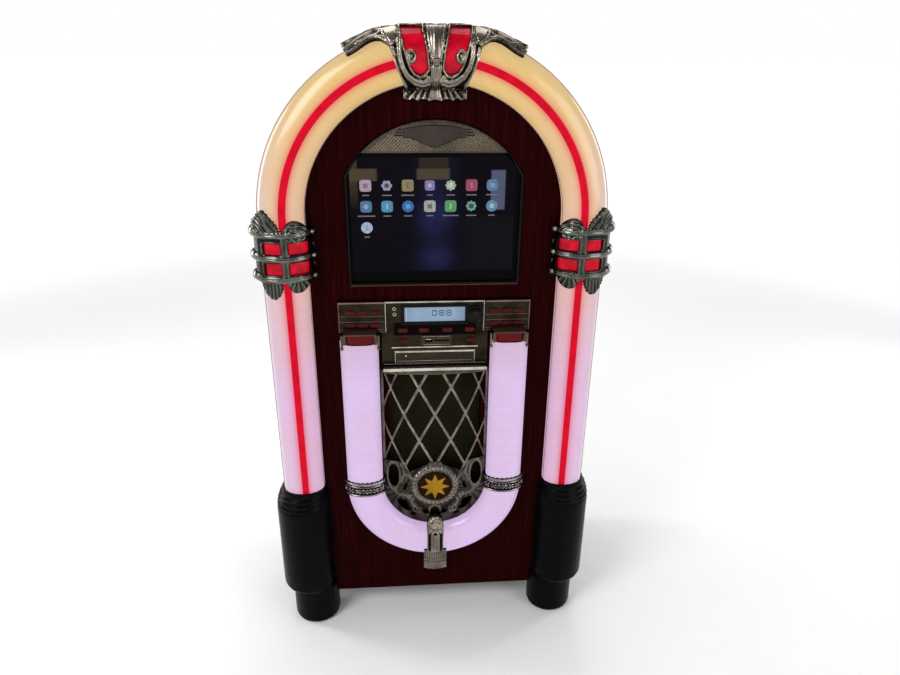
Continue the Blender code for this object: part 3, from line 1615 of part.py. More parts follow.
def make_pendant():
    """Cast pendant from the scrollwork over the bow of the inner tube."""
    metal = finish("pendant_chrome", (0.5, 0.5, 0.48), 0.18, 1.0)
    neck_low = pendant_waist - weld
    tube_line = inner_bow_height - inner_centre
    neck = [
        (front(pendant_top_set), pendant_top),
        (front(pendant_neck_reach * pendant_brow_share), pendant_top + pendant_neck_half_width / 3),
        (front(pendant_neck_reach), pendant_top - pendant_neck_half_width),
        (front(pendant_neck_reach), neck_low),
        (front(gap), neck_low),
        (front(gap), tube_line),
        (front(pendant_top_set), tube_line),
    ]
    pendant = build(
        "centre_pendant", prism_x(neck, -pendant_neck_half_width, pendant_neck_half_width), metal,
    )
    block = box(
        -pendant_block_half_width, pendant_block_half_width, front(pendant_block_reach), front(gap + weld / 2),
        pendant_low, pendant_waist,
    )
    boolean(pendant, block, "UNION")
    profile = dome(inner_tube_width / 2 + gap, tube_side, inner_tube_bulge + gap, tube_arc_steps, -cut_overrun)
    tube = sweep(profile, bow_path(inner_centre, inner_tube_top, inner_bow_height, inner_segments))
    boolean(pendant, tube)


def make_speaker():
    """Loudspeaker with its flange, basket and magnet, and the cone with its cap in front."""
    black = finish("speaker_black", (0.03, 0.03, 0.03), 0.6)
    seat = behind(face_thickness + gap + cloth_thickness + gap)
    flange = seat + speaker_flange
    back = seat + speaker_depth
    throat = back - speaker_magnet_thickness
    profile = [
        (speaker_coil_radius * speaker_cap_shares[0], seat + speaker_cone_depth * speaker_cap_shares[0]),
        (speaker_coil_radius, seat + speaker_cone_depth * speaker_cap_shares[1]),
        (speaker_coil_radius, seat + speaker_cone_depth),
        (speaker_cone_radius - speaker_flange, seat + speaker_flange / 2),
        (speaker_cone_radius, seat),
        (speaker_radius, seat),
        (speaker_radius, flange),
        (speaker_cone_radius + speaker_flange, flange),
        (speaker_magnet_radius * speaker_basket_share, throat),
        (speaker_magnet_radius, throat),
        (speaker_magnet_radius, back),
    ]
    build("speaker", turned_y(profile, 0.0, speaker_height, speaker_sides), black)


def make_electronics():
    """Amplifier board on the base, with its transformer in front and its heat sink behind."""
    green = finish("amplifier_green", (0.03, 0.18, 0.08), 0.5)
    floor = base_height + base_thickness + gap
    near = behind(amplifier_set_back)
    far = near + amplifier_board_thickness
    board = build(
        "amplifier_board",
        box(
            amplifier_centre - amplifier_half_width, amplifier_centre + amplifier_half_width, near, far,
            floor, floor + amplifier_height,
        ),
        green,
    )
    sink_low = floor + amplifier_height / 3
    sink = box(
        amplifier_centre - amplifier_sink_half_width, amplifier_centre + amplifier_sink_half_width,
        far - weld, far + amplifier_sink_depth, sink_low, sink_low + amplifier_sink_height,
    )
    transformer_centre = amplifier_centre - transformer_offset
    transformer = box(
        transformer_centre - transformer_half_width, transformer_centre + transformer_half_width,
        near - transformer_depth, near + weld, floor + weld, floor + transformer_height,
    )
    boolean(board, merge(sink, transformer), "UNION")
    pitch = 2 * amplifier_sink_half_width / amplifier_fin_count
    slots = []
    for index in range(amplifier_fin_count - 1):
        middle = amplifier_centre - amplifier_sink_half_width + pitch * (index + 1)
        half = pitch * amplifier_fin_share / 2
        slots.append(box(
            middle - half, middle + half, far + amplifier_sink_depth - amplifier_fin_depth,
            far + amplifier_sink_depth + cut_overrun, sink_low - cut_overrun,
            sink_low + amplifier_sink_height + cut_overrun,
        ))
    boolean(board, merge(*slots))


def make_connectors():
    """Rear plate with the mains inlet and the sound sockets, and its power switch."""
    black = finish("connector_black", (0.02, 0.02, 0.02), 0.45)
    rocker_finish = finish("rocker_red", (0.5, 0.02, 0.02), 0.35)
    panel_back = behind(cabinet_depth + gap + back_thickness)
    seat = panel_back + gap
    plate_back = seat + connector_plate_thickness
    body_front = plate_back - connector_body_depth
    half_width = connector_half_width + connector_flange
    half_height = connector_half_height + connector_flange
    plate = build(
        "connector_plate",
        box(
            connector_centre - half_width, connector_centre + half_width, seat, plate_back,
            connector_level - half_height, connector_level + half_height,
        ),
        black,
    )
    body = box(
        connector_centre - connector_half_width + gap, connector_centre + connector_half_width - gap,
        body_front, seat + weld, connector_level - connector_half_height + gap,
        connector_level + connector_half_height - gap,
    )
    boolean(plate, body, "UNION")
    inlet_x = connector_centre + inlet_offset
    rocker_x = connector_centre
    cuts = merge(
        box(
            inlet_x - inlet_half_width, inlet_x + inlet_half_width, plate_back - inlet_depth,
            plate_back + cut_overrun, connector_level - inlet_half_height, connector_level + inlet_half_height,
        ),
        box(
            rocker_x - rocker_half_width - gap, rocker_x + rocker_half_width + gap,
            plate_back - inlet_depth, plate_back + cut_overrun,
            connector_level - rocker_half_height - rocker_swell,
            connector_level + rocker_half_height + rocker_swell,
        ),
    )
    boolean(plate, cuts)
    sockets = []
    for row in (-1, 1):
        for column in (0, 1):
            x = connector_centre - inlet_offset + column * phono_pitch - phono_pitch / 2
            z = connector_level + row * phono_pitch / 2
            sockets.append(turned_y(
                [(phono_radius, plate_back - weld), (phono_radius, plate_back + phono_length)],
                x, z, socket_sides,
            ))
    boolean(plate, merge(*sockets), "UNION")

    pivot_y = plate_back - rocker_depth / 2
    pivot = (rocker_x, pivot_y, connector_level)
    half = rocker_half_height
    shape = [
        (-rocker_depth / 2, -half * rocker_waist_share), (rocker_depth / 2 - rocker_swell / 2, -half),
        (rocker_depth / 2 + rocker_swell, -half), (rocker_depth / 2 + rocker_swell * rocker_dip_share, 0.0),
        (rocker_depth / 2 + rocker_swell, half), (rocker_depth / 2 - rocker_swell / 2, half),
        (-rocker_depth / 2, half * rocker_waist_share),
    ]
    turned = []
    for y, z in shape:
        turned.append((
            pivot_y + y * math.cos(rocker_angle) - z * math.sin(rocker_angle),
            connector_level + y * math.sin(rocker_angle) + z * math.cos(rocker_angle),
        ))
    build(
        "rocker_switch", prism_x(turned, rocker_x - rocker_half_width, rocker_x + rocker_half_width),
        rocker_finish, pivot,
    )


def main():
    """Clear the scene and build every piece of the jukebox."""
    for piece in list(bpy.data.objects):
        bpy.data.objects.remove(piece)
    make_cabinet()
    make_boots()
    make_tubes()
    make_clamps()
    make_crown()
    make_fascia()
    make_window()
    make_keys()
    make_display_board()
    make_knob()
    make_port_plate()
    make_drive()
    make_collars()
    make_grille()
    make_pendant()
    make_speaker()
    make_electronics()
    make_connectors()


main()
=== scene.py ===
"""Looks of a retro jukebox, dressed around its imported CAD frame.

Every length is in metres. X runs to the right, the front faces -Y and Z points up.
"""
import logging
import math
from collections.abc import Callable, Iterable, Sequence
from dataclasses import dataclass
from enum import Enum

import bmesh
import bpy
import numpy as np
from mathutils import Matrix, Vector


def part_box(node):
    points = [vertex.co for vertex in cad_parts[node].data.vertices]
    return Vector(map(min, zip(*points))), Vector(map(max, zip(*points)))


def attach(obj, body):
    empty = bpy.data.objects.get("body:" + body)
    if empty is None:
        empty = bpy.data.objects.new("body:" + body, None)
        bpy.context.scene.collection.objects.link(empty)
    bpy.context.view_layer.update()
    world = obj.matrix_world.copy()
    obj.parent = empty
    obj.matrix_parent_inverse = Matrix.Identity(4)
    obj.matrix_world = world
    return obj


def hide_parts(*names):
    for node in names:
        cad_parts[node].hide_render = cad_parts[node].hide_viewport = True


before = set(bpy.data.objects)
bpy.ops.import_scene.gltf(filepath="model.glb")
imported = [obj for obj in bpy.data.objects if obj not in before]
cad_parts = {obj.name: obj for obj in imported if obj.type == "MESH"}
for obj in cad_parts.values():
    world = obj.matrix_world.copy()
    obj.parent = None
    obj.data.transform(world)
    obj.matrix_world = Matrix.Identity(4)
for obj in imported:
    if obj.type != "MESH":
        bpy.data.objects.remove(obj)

LOG = logging.getLogger("jukebox")
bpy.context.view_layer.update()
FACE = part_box("front_panel")[0].y
CABINET = "cabinet"
ARCH_CENTRE = 0.7906
BOW_CENTRE = 0.299
TUBE_PATH_RADIUS = 0.23435
BOW_PATH_RADIUS = 0.1255
STRIPE_SHIFT = 0.0046
TURN = 2 * math.pi
SIDES = ((-1, "left"), (1, "right"))

Pair = tuple[float, float]
Point = tuple[float, float, float]
Tone = tuple[int, int, int]
Colour = tuple[float, float, float, float]
Skin = tuple[list[Point], list[list[int]]]


def shade(*tone: float) -> Colour:
    """A linear colour from its three display values of 0 to 255."""
    shares = [value / 255 for value in tone]
    linear = [share / 12.92 if share <= 0.04045 else ((share + 0.055) / 1.055) ** 2.4 for share in shares]
    return (*linear, 1.0)


def ink(value: object) -> object:
    """Display values made a linear colour, and anything else as it is."""
    return shade(*value) if isinstance(value, tuple) and len(value) == 3 else value


def front(reach: float) -> float:
    """The Y of a point that stands out from the wooden face by reach."""
    return FACE - reach


# ---------------------------------------------------------------- node trees


def maths(operation: str) -> Callable[["Wire", object], "Wire"]:
    """The method that joins a wire and another value by a Math node."""
    return lambda wire, other: wire.graph.calc(operation, wire, other)


@dataclass(frozen=True)
class Wire:
    """A node's output that can stand in a formula."""

    graph: "Graph"
    socket: bpy.types.NodeSocket

    __add__, __sub__, __mul__, __truediv__ = map(maths, ("ADD", "SUBTRACT", "MULTIPLY", "DIVIDE"))


class Graph:
    """Short calls that add and join the nodes of one tree."""

    def __init__(self, tree: bpy.types.NodeTree) -> None:
        """Keeps the tree."""
        self.tree = tree

    def feed(self, socket: bpy.types.NodeSocket, value: object) -> None:
        """Joins a wire, socket or node to the socket, or sets its own value.

        Args:
            socket: the input to fill.
            value: a wire, a node, a socket, or a constant.
        """
        if isinstance(value, Wire):
            value = value.socket
        elif isinstance(value, bpy.types.Node):
            value = value.outputs[0]
        if isinstance(value, bpy.types.NodeSocket):
            self.tree.links.new(value, socket)
        else:
            socket.default_value = value

    def add(self, kind: str, feeds: dict | None = None, **settings: object) -> bpy.types.Node:
        """Adds a node.

        Args:
            kind: the node's type.
            feeds: what goes into its inputs, by name or index.
            settings: the node's own properties.

        Returns:
            The new node.
        """
        node = self.tree.nodes.new(kind)
        for name, value in settings.items():
            setattr(node, name, value)
        for key, value in (feeds or {}).items():
            self.feed(node.inputs[key], value)
        return node

    def wire(self, output: int | str, kind: str, feeds: dict | None = None, **settings: object) -> Wire:
        """Adds a node and gives that output of it; the other arguments are those of add."""
        return Wire(self, self.add(kind, feeds, **settings).outputs[output])

    def calc(self, operation: str, *terms: object, clamp: bool = False) -> Wire:
        """Adds a Math node.

        Args:
            operation: such as ADD.
            terms: up to three wires, sockets or numbers.
            clamp: keep the result from 0 to 1.

        Returns:
            The result.
        """
        return self.wire(0, "ShaderNodeMath", dict(enumerate(terms)), operation=operation, use_clamp=clamp)


class Paint(Graph):
    """The shader tree of one material."""

    def __init__(self, name: str) -> None:
        """Starts an empty material whose pattern lies on the object's own coordinates."""
        self.material = bpy.data.materials.new(name)
        self.material.use_nodes = True
        super().__init__(self.material.node_tree)
        self.tree.nodes.clear()
        self.output = self.add("ShaderNodeOutputMaterial")
        self.place = self.wire("Object", "ShaderNodeTexCoord")
        self._split: bpy.types.Node | None = None

    def axis(self, letter: str) -> Wire:
        """One coordinate of the object's own place."""
        if self._split is None:
            self._split = self.add("ShaderNodeSeparateXYZ", {0: self.place})
        return Wire(self, self._split.outputs[letter])

    def stretched(self, scale: Point) -> Wire:
        """The place with each axis scaled."""
        return self.wire(0, "ShaderNodeVectorMath", {0: self.place, 1: scale}, operation="MULTIPLY")

    def noise(self, scale: float, detail: float = 3.0, rough: float = 0.5, where: Wire | None = None) -> Wire:
        """Fractal noise about 0.5.

        Args:
            scale: features per metre.
            detail: octaves.
            rough: share of the fine octaves.
            where: the place to read, or the object's own.

        Returns:
            The noise.
        """
        return self.wire("Fac", "ShaderNodeTexNoise", {
            "Vector": where or self.place, "Scale": scale, "Detail": detail, "Roughness": rough,
        })

    def stored(self, name: str, output: str) -> Wire:
        """What the mesh's own attribute of that name holds."""
        return self.wire(output, "ShaderNodeAttribute", attribute_name=name)

    def ramp(self, value: object, *stops: tuple[float, Colour | Tone]) -> Wire:
        """Maps a value to colours.

        Args:
            value: the value to map.
            stops: pairs of place and colour, in order.

        Returns:
            The colour.
        """
        node = self.add("ShaderNodeValToRGB", {0: value})
        elements = node.color_ramp.elements
        while len(elements) > 1:
            elements.remove(elements[0])
        elements[0].position, elements[0].color = stops[0][0], ink(stops[0][1])
        for position, colour in stops[1:]:
            elements.new(position).color = ink(colour)
        return Wire(self, node.outputs["Color"])

    def span(self, value: object, low: float, high: float, to_low: float = 0.0, to_high: float = 1.0) -> Wire:
        """Maps low..high to to_low..to_high, and holds it there."""
        return self.wire(0, "ShaderNodeMapRange", {0: value, 1: low, 2: high, 3: to_low, 4: to_high})

    def within(self, value: object, low: float, high: float, soft: float) -> Wire:
        """1 between low and high, fading to 0 over soft beyond them."""
        return self.span(value, low - soft, low) * self.span(value, high + soft, high)

    def framed(self, left: float, right: float, low: float, high: float, soft_x: float, soft_z: float) -> Wire:
        """1 in a rectangle of the front, fading to 0 beyond it."""
        return self.within(self.axis("Z"), low, high, soft_z) * self.within(self.axis("X"), left, right, soft_x)

    def bell(self, off: Wire) -> Wire:
        """1 at zero, falling to both sides."""
        return self.calc("EXPONENT", off * off * -1.0)

    def away(self, first: Wire, second: Wire) -> Wire:
        """Distance from the point where both are zero."""
        return self.calc("SQRT", first * first + second * second)

    def mix(self, share: object, first: object, second: object) -> Wire:
        """Blends two colours by a share."""
        return self.wire(2, "ShaderNodeMix", {0: share, 6: ink(first), 7: ink(second)}, data_type="RGBA")

    def bump(self, height: object, depth: float, strength: float) -> Wire:
        """Turns a height of 0 to 1, which stands for that depth, into a normal."""
        return self.wire(0, "ShaderNodeBump", {"Height": height, "Distance": depth, "Strength": strength})

    def shine(self, **feeds: object) -> None:
        """Ends the tree in a Principled shader, its inputs named with _ for a space."""
        named = {key.replace("_", " "): ink(value) for key, value in feeds.items()}
        self.feed(self.output.inputs["Surface"], self.add("ShaderNodeBsdfPrincipled", named))


@dataclass(frozen=True)
class Finish:
    """What a surface is made of; each kind paints itself once."""

    name: str

    def material(self) -> bpy.types.Material:
        """The finished material, painted on first use."""
        name = f"finish {self.name}"
        found = bpy.data.materials.get(name)
        if found:
            return found
        paint = Paint(name)
        self.apply(paint)
        return paint.material

    def apply(self, paint: Paint) -> None:
        """Builds the tree."""
        raise NotImplementedError


@dataclass(frozen=True)
class Veneer(Finish):
    """Dark lacquered wood with a fine upright grain."""

    warm: Tone = (58, 8, 7)
    gloss: float = 0.01
    deep: Tone = (30, 1, 2)
    streak: Tone = (16, 0, 0)
    along: Point = (210.0, 210.0, 7.0)
    coat: float = 0.012

    def apply(self, paint: Paint) -> None:
        """Grain in two scales, cloudy tone and a clear coat."""
        grain = paint.noise(1.0, 6.0, 0.62, paint.stretched(self.along))
        pores = paint.noise(4.2, 2.0, 0.7, paint.stretched(self.along))
        cloud = paint.noise(3.5, 2.0)
        tone = paint.ramp(grain, (0.3, self.streak), (0.52, self.deep), (0.78, self.warm))
        tone = paint.mix(paint.span(cloud, 0.35, 0.7, 0.0, 0.55), tone, self.deep)
        paint.shine(Base_Color=tone, Roughness=paint.span(cloud, 0.3, 0.7, 0.34, 0.44),
                    Specular_IOR_Level=self.gloss, Coat_Weight=self.coat, Coat_Roughness=0.12,
                    Normal=paint.bump(grain * 0.6 + pores * 0.4, 0.00012, 0.35))


@dataclass(frozen=True)
class Plated(Finish):
    """Bright plating over castings: painted shade darkens the hollows of carved pieces."""

    bright: Tone = (140, 141, 132)
    dull: Tone = (84, 84, 77)
    # hollow: the painted shade colour laid into the low parts of carved pieces
    hollow: Tone = (18, 18, 15)
    smooth: float = 0.13
    rough: float = 0.3
    grain: float = 260.0
    depth: float = 0.0003
    carved: bool = False

    def over(self, paint: Paint, tone: Wire) -> Wire:
        """The tone with painted shade in the hollows of carved pieces."""
        if not self.carved:
            return tone
        # painted shade: low values of the relief attribute mix the tone towards the hollow colour
        return paint.mix(paint.span(paint.stored("relief", "Fac"), 0.1, 0.62, 1.0, 0.0), tone, self.hollow)

    def apply(self, paint: Paint) -> None:
        """Cloudy tarnish and small dents."""
        cloud = paint.noise(38.0, 4.0, 0.6)
        tone = self.over(paint, paint.mix(paint.span(cloud, 0.42, 0.68), self.bright, self.dull))
        paint.shine(Base_Color=tone, Metallic=1.0, Roughness=paint.span(cloud, 0.3, 0.72, self.smooth, self.rough),
                    Normal=paint.bump(paint.noise(self.grain, 2.0), self.depth, 0.5))


@dataclass(frozen=True)
class BlackPlate(Plated):
    """Black chrome of the control fascia, darkest round the keys under the display."""

    bed: Tone = (17, 10, 9)
    bed_half: float = 0.066
    bed_low: float = 0.596
    bed_high: float = 0.616

    def over(self, paint: Paint, tone: Wire) -> Wire:
        """The tone with a dull bed under the display."""
        bed = paint.framed(-self.bed_half, self.bed_half, self.bed_low, self.bed_high, 0.004, 0.003)
        return paint.mix(bed, tone, self.bed)


@dataclass(frozen=True)
class Moulded(Finish):
    """A painted, moulded or sheet surface in two close tones."""

    tone: Tone
    other: Tone
    metal: float = 0.0
    smooth: float = 0.25
    rough: float = 0.4
    patch: float = 30.0
    grain: float = 500.0
    depth: float = 0.00008
    brushed: Point = (1.0, 1.0, 1.0)
    coat: float = 0.0
    gloss: float = 0.2

    def apply(self, paint: Paint) -> None:
        """Cloudy tone and a fine grain, brushed along one axis where asked."""
        cloud = paint.noise(self.patch, 4.0, 0.55)
        fine = paint.noise(self.grain, 2.0, where=paint.stretched(self.brushed))
        paint.shine(Base_Color=paint.mix(paint.span(cloud, 0.35, 0.7), self.tone, self.other), Metallic=self.metal,
                    Roughness=paint.span(fine, 0.3, 0.7, self.smooth, self.rough), Specular_IOR_Level=self.gloss,
                    Coat_Weight=self.coat, Coat_Roughness=0.08, Normal=paint.bump(fine, self.depth, 0.4))


class Bend(Enum):
    """Which path a light tube follows: its middle's height, its radius and the way it bends."""

    ARCH = (ARCH_CENTRE, TUBE_PATH_RADIUS, 1)
    BOW = (BOW_CENTRE, BOW_PATH_RADIUS, -1)


@dataclass(frozen=True)
class Diffuser(Finish):
    """Milky tube wall lit from behind by a strip of lamps."""

    bend: Bend = Bend.ARCH
    glow: float = 0.8
    body: float = 0.86
    top: Tone = (236, 200, 128)
    shoulder: Tone = (236, 196, 158)
    middle: Tone = (230, 186, 190)
    low: Tone = (228, 184, 222)
    # rim: the colour of the painted reflection on the outer rim
    rim: Tone = (218, 214, 236)
    cloudy: Tone = (214, 172, 118)
    blush: Tone = (226, 62, 84)
    blush_width: float = 0.0092
    lamp_pitch: float = 0.0167

    def apply(self, paint: Paint) -> None:
        """Colour by height, a painted reflection on the outer rim, a blush beside the red stripe, faint lamp spots and
        painted shade towards both edges.
        """
        x, z = paint.axis("X"), paint.axis("Z")
        centre, path, way = self.bend.value
        past = z - centre if way > 0 else paint.calc("SUBTRACT", centre, z)
        rise = paint.calc("MAXIMUM", past, 0.0)
        across = paint.away(x, rise) - path
        tone = paint.ramp(paint.span(z, 0.28, 1.06), (0.0, self.low), (0.3, self.low), (0.48, self.middle),
                          (0.7, self.shoulder), (0.9, self.top))
        # painted reflection: the outer rim turns towards the rim colour, most on the low legs
        cool = paint.span(across, 0.01, 0.034) * paint.span(z, 0.96, 0.8, 0.12, 0.5)
        tone = paint.mix(cool, tone, self.rim)
        cloud = paint.noise(26.0, 2.0)
        tone = paint.mix(paint.span(cloud, 0.3, 0.7, 0.0, 0.16), tone, self.cloudy)
        if self.blush_width:
            fall = paint.bell((across + STRIPE_SHIFT) / self.blush_width)
            tone = paint.mix(fall * 0.92, tone, self.blush)
        along = paint.calc("ARCTAN2", x, rise) * path + z
        strength = paint.calc("SINE", along * (TURN / self.lamp_pitch)) * 0.012 + self.glow
        # painted shade: the glow dims towards both edges of the tube
        strength = strength * paint.span(paint.calc("ABSOLUTE", across), 0.018, 0.036, 1.0, 0.86)
        paint.shine(Base_Color=paint.mix(self.body, tone, (0, 0, 0)), Roughness=0.22, Specular_IOR_Level=0.35,
                    Emission_Color=tone, Emission_Strength=strength, Coat_Weight=0.15, Coat_Roughness=0.06,
                    Normal=paint.bump(cloud, 0.0004, 0.15))


@dataclass(frozen=True)
class RedLens(Finish):
    """Clear red moulding with light behind it."""

    core: Tone
    edge: Tone
    glow: float = 0.55
    gloss: float = 0.1
    coat: float = 0.08
    carved: bool = False

    def apply(self, paint: Paint) -> None:
        """Uneven light behind, darker towards the edges of carved windows."""
        cloud = paint.noise(60.0)
        tone = paint.mix(paint.span(cloud, 0.35, 0.68, 0.0, 0.5), self.core, self.edge)
        if self.carved:
            tone = paint.mix(paint.span(paint.stored("relief", "Fac"), 0.15, 0.9, 0.85, 0.0), tone, self.edge)
        paint.shine(Base_Color=paint.mix(0.72, tone, (0, 0, 0)), Roughness=0.12, Specular_IOR_Level=self.gloss,
                    Emission_Color=tone, Emission_Strength=paint.span(cloud, 0.3, 0.7, self.glow, self.glow * 0.75),
                    Coat_Weight=self.coat, Coat_Roughness=0.05, Normal=paint.bump(cloud, 0.0003, 0.5))


@dataclass(frozen=True)
class Weave(Finish):
    """Woven grille cloth."""

    thread: Tone = (46, 43, 26)
    hollow: Tone = (15, 14, 9)
    pitch: float = 0.0011

    def apply(self, paint: Paint) -> None:
        """Two crossing sine threads."""
        warp, weft = (paint.calc("SINE", paint.axis(letter) * (TURN / self.pitch)) for letter in "XZ")
        level = paint.span(warp * weft, -1.0, 1.0)
        tone = paint.mix(level, self.hollow, self.thread)
        tone = paint.mix(paint.span(paint.noise(40.0, 3.0, 0.6), 0.3, 0.7, 0.0, 0.4), tone, self.hollow)
        paint.shine(Base_Color=tone, Roughness=0.95, Specular_IOR_Level=0.03, Normal=paint.bump(level, 0.0003, 0.8))


@dataclass(frozen=True)
class ScreenPicture(Finish):
    """Glass over a lit display: a dark blue haze with a cool glow in the middle."""

    dark: Tone = (5, 3, 9)
    left: Tone = (6, 5, 12)
    haze: Tone = (36, 37, 82)
    band: Tone = (72, 62, 48)
    upper: Tone = (44, 37, 28)
    sheen: Tone = (11, 11, 15)
    pane: Tone = (84, 92, 118)
    glass: Tone = (5, 4, 5)
    level: float = 0.79

    def apply(self, paint: Paint) -> None:
        """Blue haze down the middle, dim bands on top, a paler pane at the right."""
        x, z = paint.axis("X"), paint.axis("Z")
        swirl = paint.noise(34.0, 4.0, 0.6)
        upper, lower = (paint.bell((z - level) / width) for level, width in ((self.level, 0.022),
                                                                             (self.level - 0.066, 0.014)))
        glow = paint.bell((x - 0.002) / 0.024) * ((upper + lower) * 0.55 + 0.3)
        glow = paint.calc("MULTIPLY", glow, paint.span(swirl, 0.3, 0.7, 0.7, 1.25), clamp=True)
        tone = paint.mix(paint.span(x, -0.02, -0.06, 0.0, 0.8), self.dark, self.left)
        tone = paint.mix(paint.span(swirl, 0.4, 0.6, 0.0, 0.6), tone, self.dark)
        tone = paint.mix(glow, tone, self.haze)
        tone = paint.mix(paint.span(x, 0.04, 0.052) * paint.span(z, 0.794, 0.786), tone, self.sheen)
        edge = paint.within(x, -0.129, -0.119, 0.003) * paint.span(z, 0.8, 0.85)
        tone = paint.mix(edge * 0.7, tone, self.band)
        for place_of, colour in (((-0.129, -0.09, 0.847, 0.864), self.band), ((-0.025, 0.021, 0.849, 0.864), self.band),
                                 ((-0.0215, 0.019, 0.866, 0.88), self.upper)):
            tone = paint.mix(paint.framed(*place_of, 0.004, 0.0015), tone, colour)
        tone = paint.mix(paint.framed(0.0885, 0.1085, 0.802, 0.861, 0.002, 0.002) * 0.85, tone, self.pane)
        paint.shine(Base_Color=self.glass, Roughness=0.14, Specular_IOR_Level=0.03, Emission_Color=tone,
                    Emission_Strength=paint.framed(-0.129, 0.125, 0.703, 0.881, 0.001, 0.001))


@dataclass(frozen=True)
class Tinted(Finish):
    """Lit marks whose colour each piece carries in its own tint attribute."""

    glow: float = 0.72
    veil: Tone = (20, 20, 26)
    glass: Tone = (10, 10, 12)

    def apply(self, paint: Paint) -> None:
        """The tint, slightly uneven."""
        tint = paint.stored("tint", "Color")
        tone = paint.mix(paint.span(paint.noise(300.0, 2.0), 0.3, 0.7, 0.0, 0.35), tint, self.veil)
        paint.shine(Base_Color=self.glass, Roughness=0.3, Emission_Color=tone, Emission_Strength=self.glow)


@dataclass(frozen=True)
class LcdBoard(Finish):
    """Black printed board whose middle is the pale blue lit display."""

    lit: Tone = (150, 182, 208)
    corner: Tone = (120, 150, 182)
    mark: Tone = (206, 214, 220)
    board: tuple[Tone, Tone] = ((12, 22, 14), (18, 34, 20))
    panel: Tone = (70, 84, 96)
    glow: float = 0.55
    half_width: float = 0.0495
    low: float = 0.6185
    high: float = 0.6435
    edge: float = 0.0004

    def apply(self, paint: Paint) -> None:
        """A lit rectangle that dims towards its ends, on a dark board."""
        x, z = paint.axis("X"), paint.axis("Z")
        width = paint.calc("ABSOLUTE", x)
        inside = paint.span(width, self.half_width + self.edge, self.half_width)
        inside = inside * paint.within(z, self.low, self.high, self.edge)
        cloud = paint.noise(60.0, 2.0)
        tone = paint.mix(paint.span(width, 0.03, 0.05), self.lit, self.corner)
        tone = paint.mix(paint.span(cloud, 0.35, 0.7, 0.0, 0.3), tone, self.corner)
        tone = paint.mix(paint.within(x, -0.0472, -0.0462, 0.0004), tone, self.mark)
        board = paint.mix(paint.span(cloud, 0.3, 0.7), *self.board)
        paint.shine(Base_Color=paint.mix(inside, board, self.panel), Roughness=0.3, Emission_Color=tone,
                    Emission_Strength=inside * self.glow)


@dataclass(frozen=True)
class StudioFloor(Finish):
    """Pale floor that fades into the light beyond it."""

    near: Tone = (243, 243, 242)
    cloudy: Tone = (238, 238, 238)
    far: Tone = (4, 4, 4)

    def apply(self, paint: Paint) -> None:
        """Matt near the object, the backdrop's own white further off."""
        far = paint.span(paint.away(paint.axis("X"), paint.axis("Y")), 0.9, 2.6)
        tone = paint.mix(paint.span(paint.noise(9.0), 0.3, 0.7, 0.0, 0.3), self.near, self.cloudy)
        paint.shine(Base_Color=paint.mix(far, tone, self.far), Roughness=0.7, Specular_IOR_Level=0.1,
                    Emission_Color=(1.0, 1.0, 1.0, 1.0), Emission_Strength=far)


MAHOGANY = Veneer("mahogany_lacquer")
SIDE_VENEER = Veneer("mahogany_side", (44, 8, 6), gloss=0.0)
CARVED_CHROME = Plated("carved_chrome", carved=True)
CROWN_METAL = Plated("crown_chrome", (144, 135, 123), (90, 83, 75), smooth=0.2, rough=0.38, carved=True)
# the collars' chrome is tinted pink and made lighter: a painted reflection of the inner tube's glow
COLLAR_METAL_GLOW_TINT = Plated("collar_chrome", (166, 156, 158), (106, 98, 100), carved=True)
GRILLE_METAL = Plated("grille_casting_metal", (140, 131, 122), (88, 80, 72), (16, 13, 11), 0.22, 0.4, carved=True)
LINE_CHROME = Plated("line_chrome", (206, 200, 186), (150, 144, 128), smooth=0.14)
WING_LINE = Plated("dim_chrome", (134, 112, 96), (98, 80, 68), smooth=0.2)
LEDGE = Plated("ledge_chrome", (214, 206, 190), (176, 168, 150), smooth=0.2, rough=0.34)
FASCIA_PLATE = BlackPlate("black_chrome", (48, 43, 33), (28, 24, 17), smooth=0.2, rough=0.36)
TUBE_RIM = Moulded("tube_rim", (150, 132, 128), (124, 108, 104), smooth=0.4, rough=0.55, gloss=0.1)
HEAD_CAP = Moulded("head_cap", (62, 40, 34), (44, 28, 23), smooth=0.3, rough=0.5, gloss=0.1)
HEAD_RIM = Moulded("head_rim", (84, 70, 62), (58, 46, 40), smooth=0.3, rough=0.5, gloss=0.1)
HEADER_SHEET = Moulded("header_sheet", (88, 79, 68), (62, 56, 48), 1.0, 0.28, 0.45, patch=14.0)
BRUSHED = Moulded("brushed_silver", (70, 62, 52), (46, 41, 34), 1.0, 0.28, 0.45, brushed=(0.2, 1.0, 3.0))
ARCH_GLOW = Diffuser("arch_diffuser")
COLUMN_GLOW = Diffuser("column_diffuser")
# the bow's rim colour is its painted outer-rim reflection
BOW_GLOW = Diffuser("bow_diffuser", Bend.BOW, top=(236, 214, 232), shoulder=(196, 168, 184), middle=(198, 170, 190),
                    low=(224, 196, 242), rim=(220, 200, 240), blush_width=0.0)
RED = RedLens("red_lens", (112, 5, 12), (80, 2, 8), glow=0.5)
CARVED_RED = RedLens("red_window", (236, 10, 46), (120, 0, 18), carved=True)
RED_STRIPE = RedLens("red_stripe_plastic", (214, 6, 40), (200, 4, 30), glow=0.8, gloss=0.05, coat=0.03)
KEY_RED = Moulded("key_red", (72, 12, 15), (50, 7, 10), smooth=0.2, rough=0.32, coat=0.03, gloss=0.1)
BOOT_BLACK = Moulded("boot_black", (4, 4, 4), (7, 7, 6), smooth=0.24, rough=0.34, grain=140.0, gloss=0.04)
BOARD_BLACK = Moulded("painted_board", (20, 17, 15), (30, 26, 23), smooth=0.6, rough=0.8, grain=900.0, depth=0.0002)
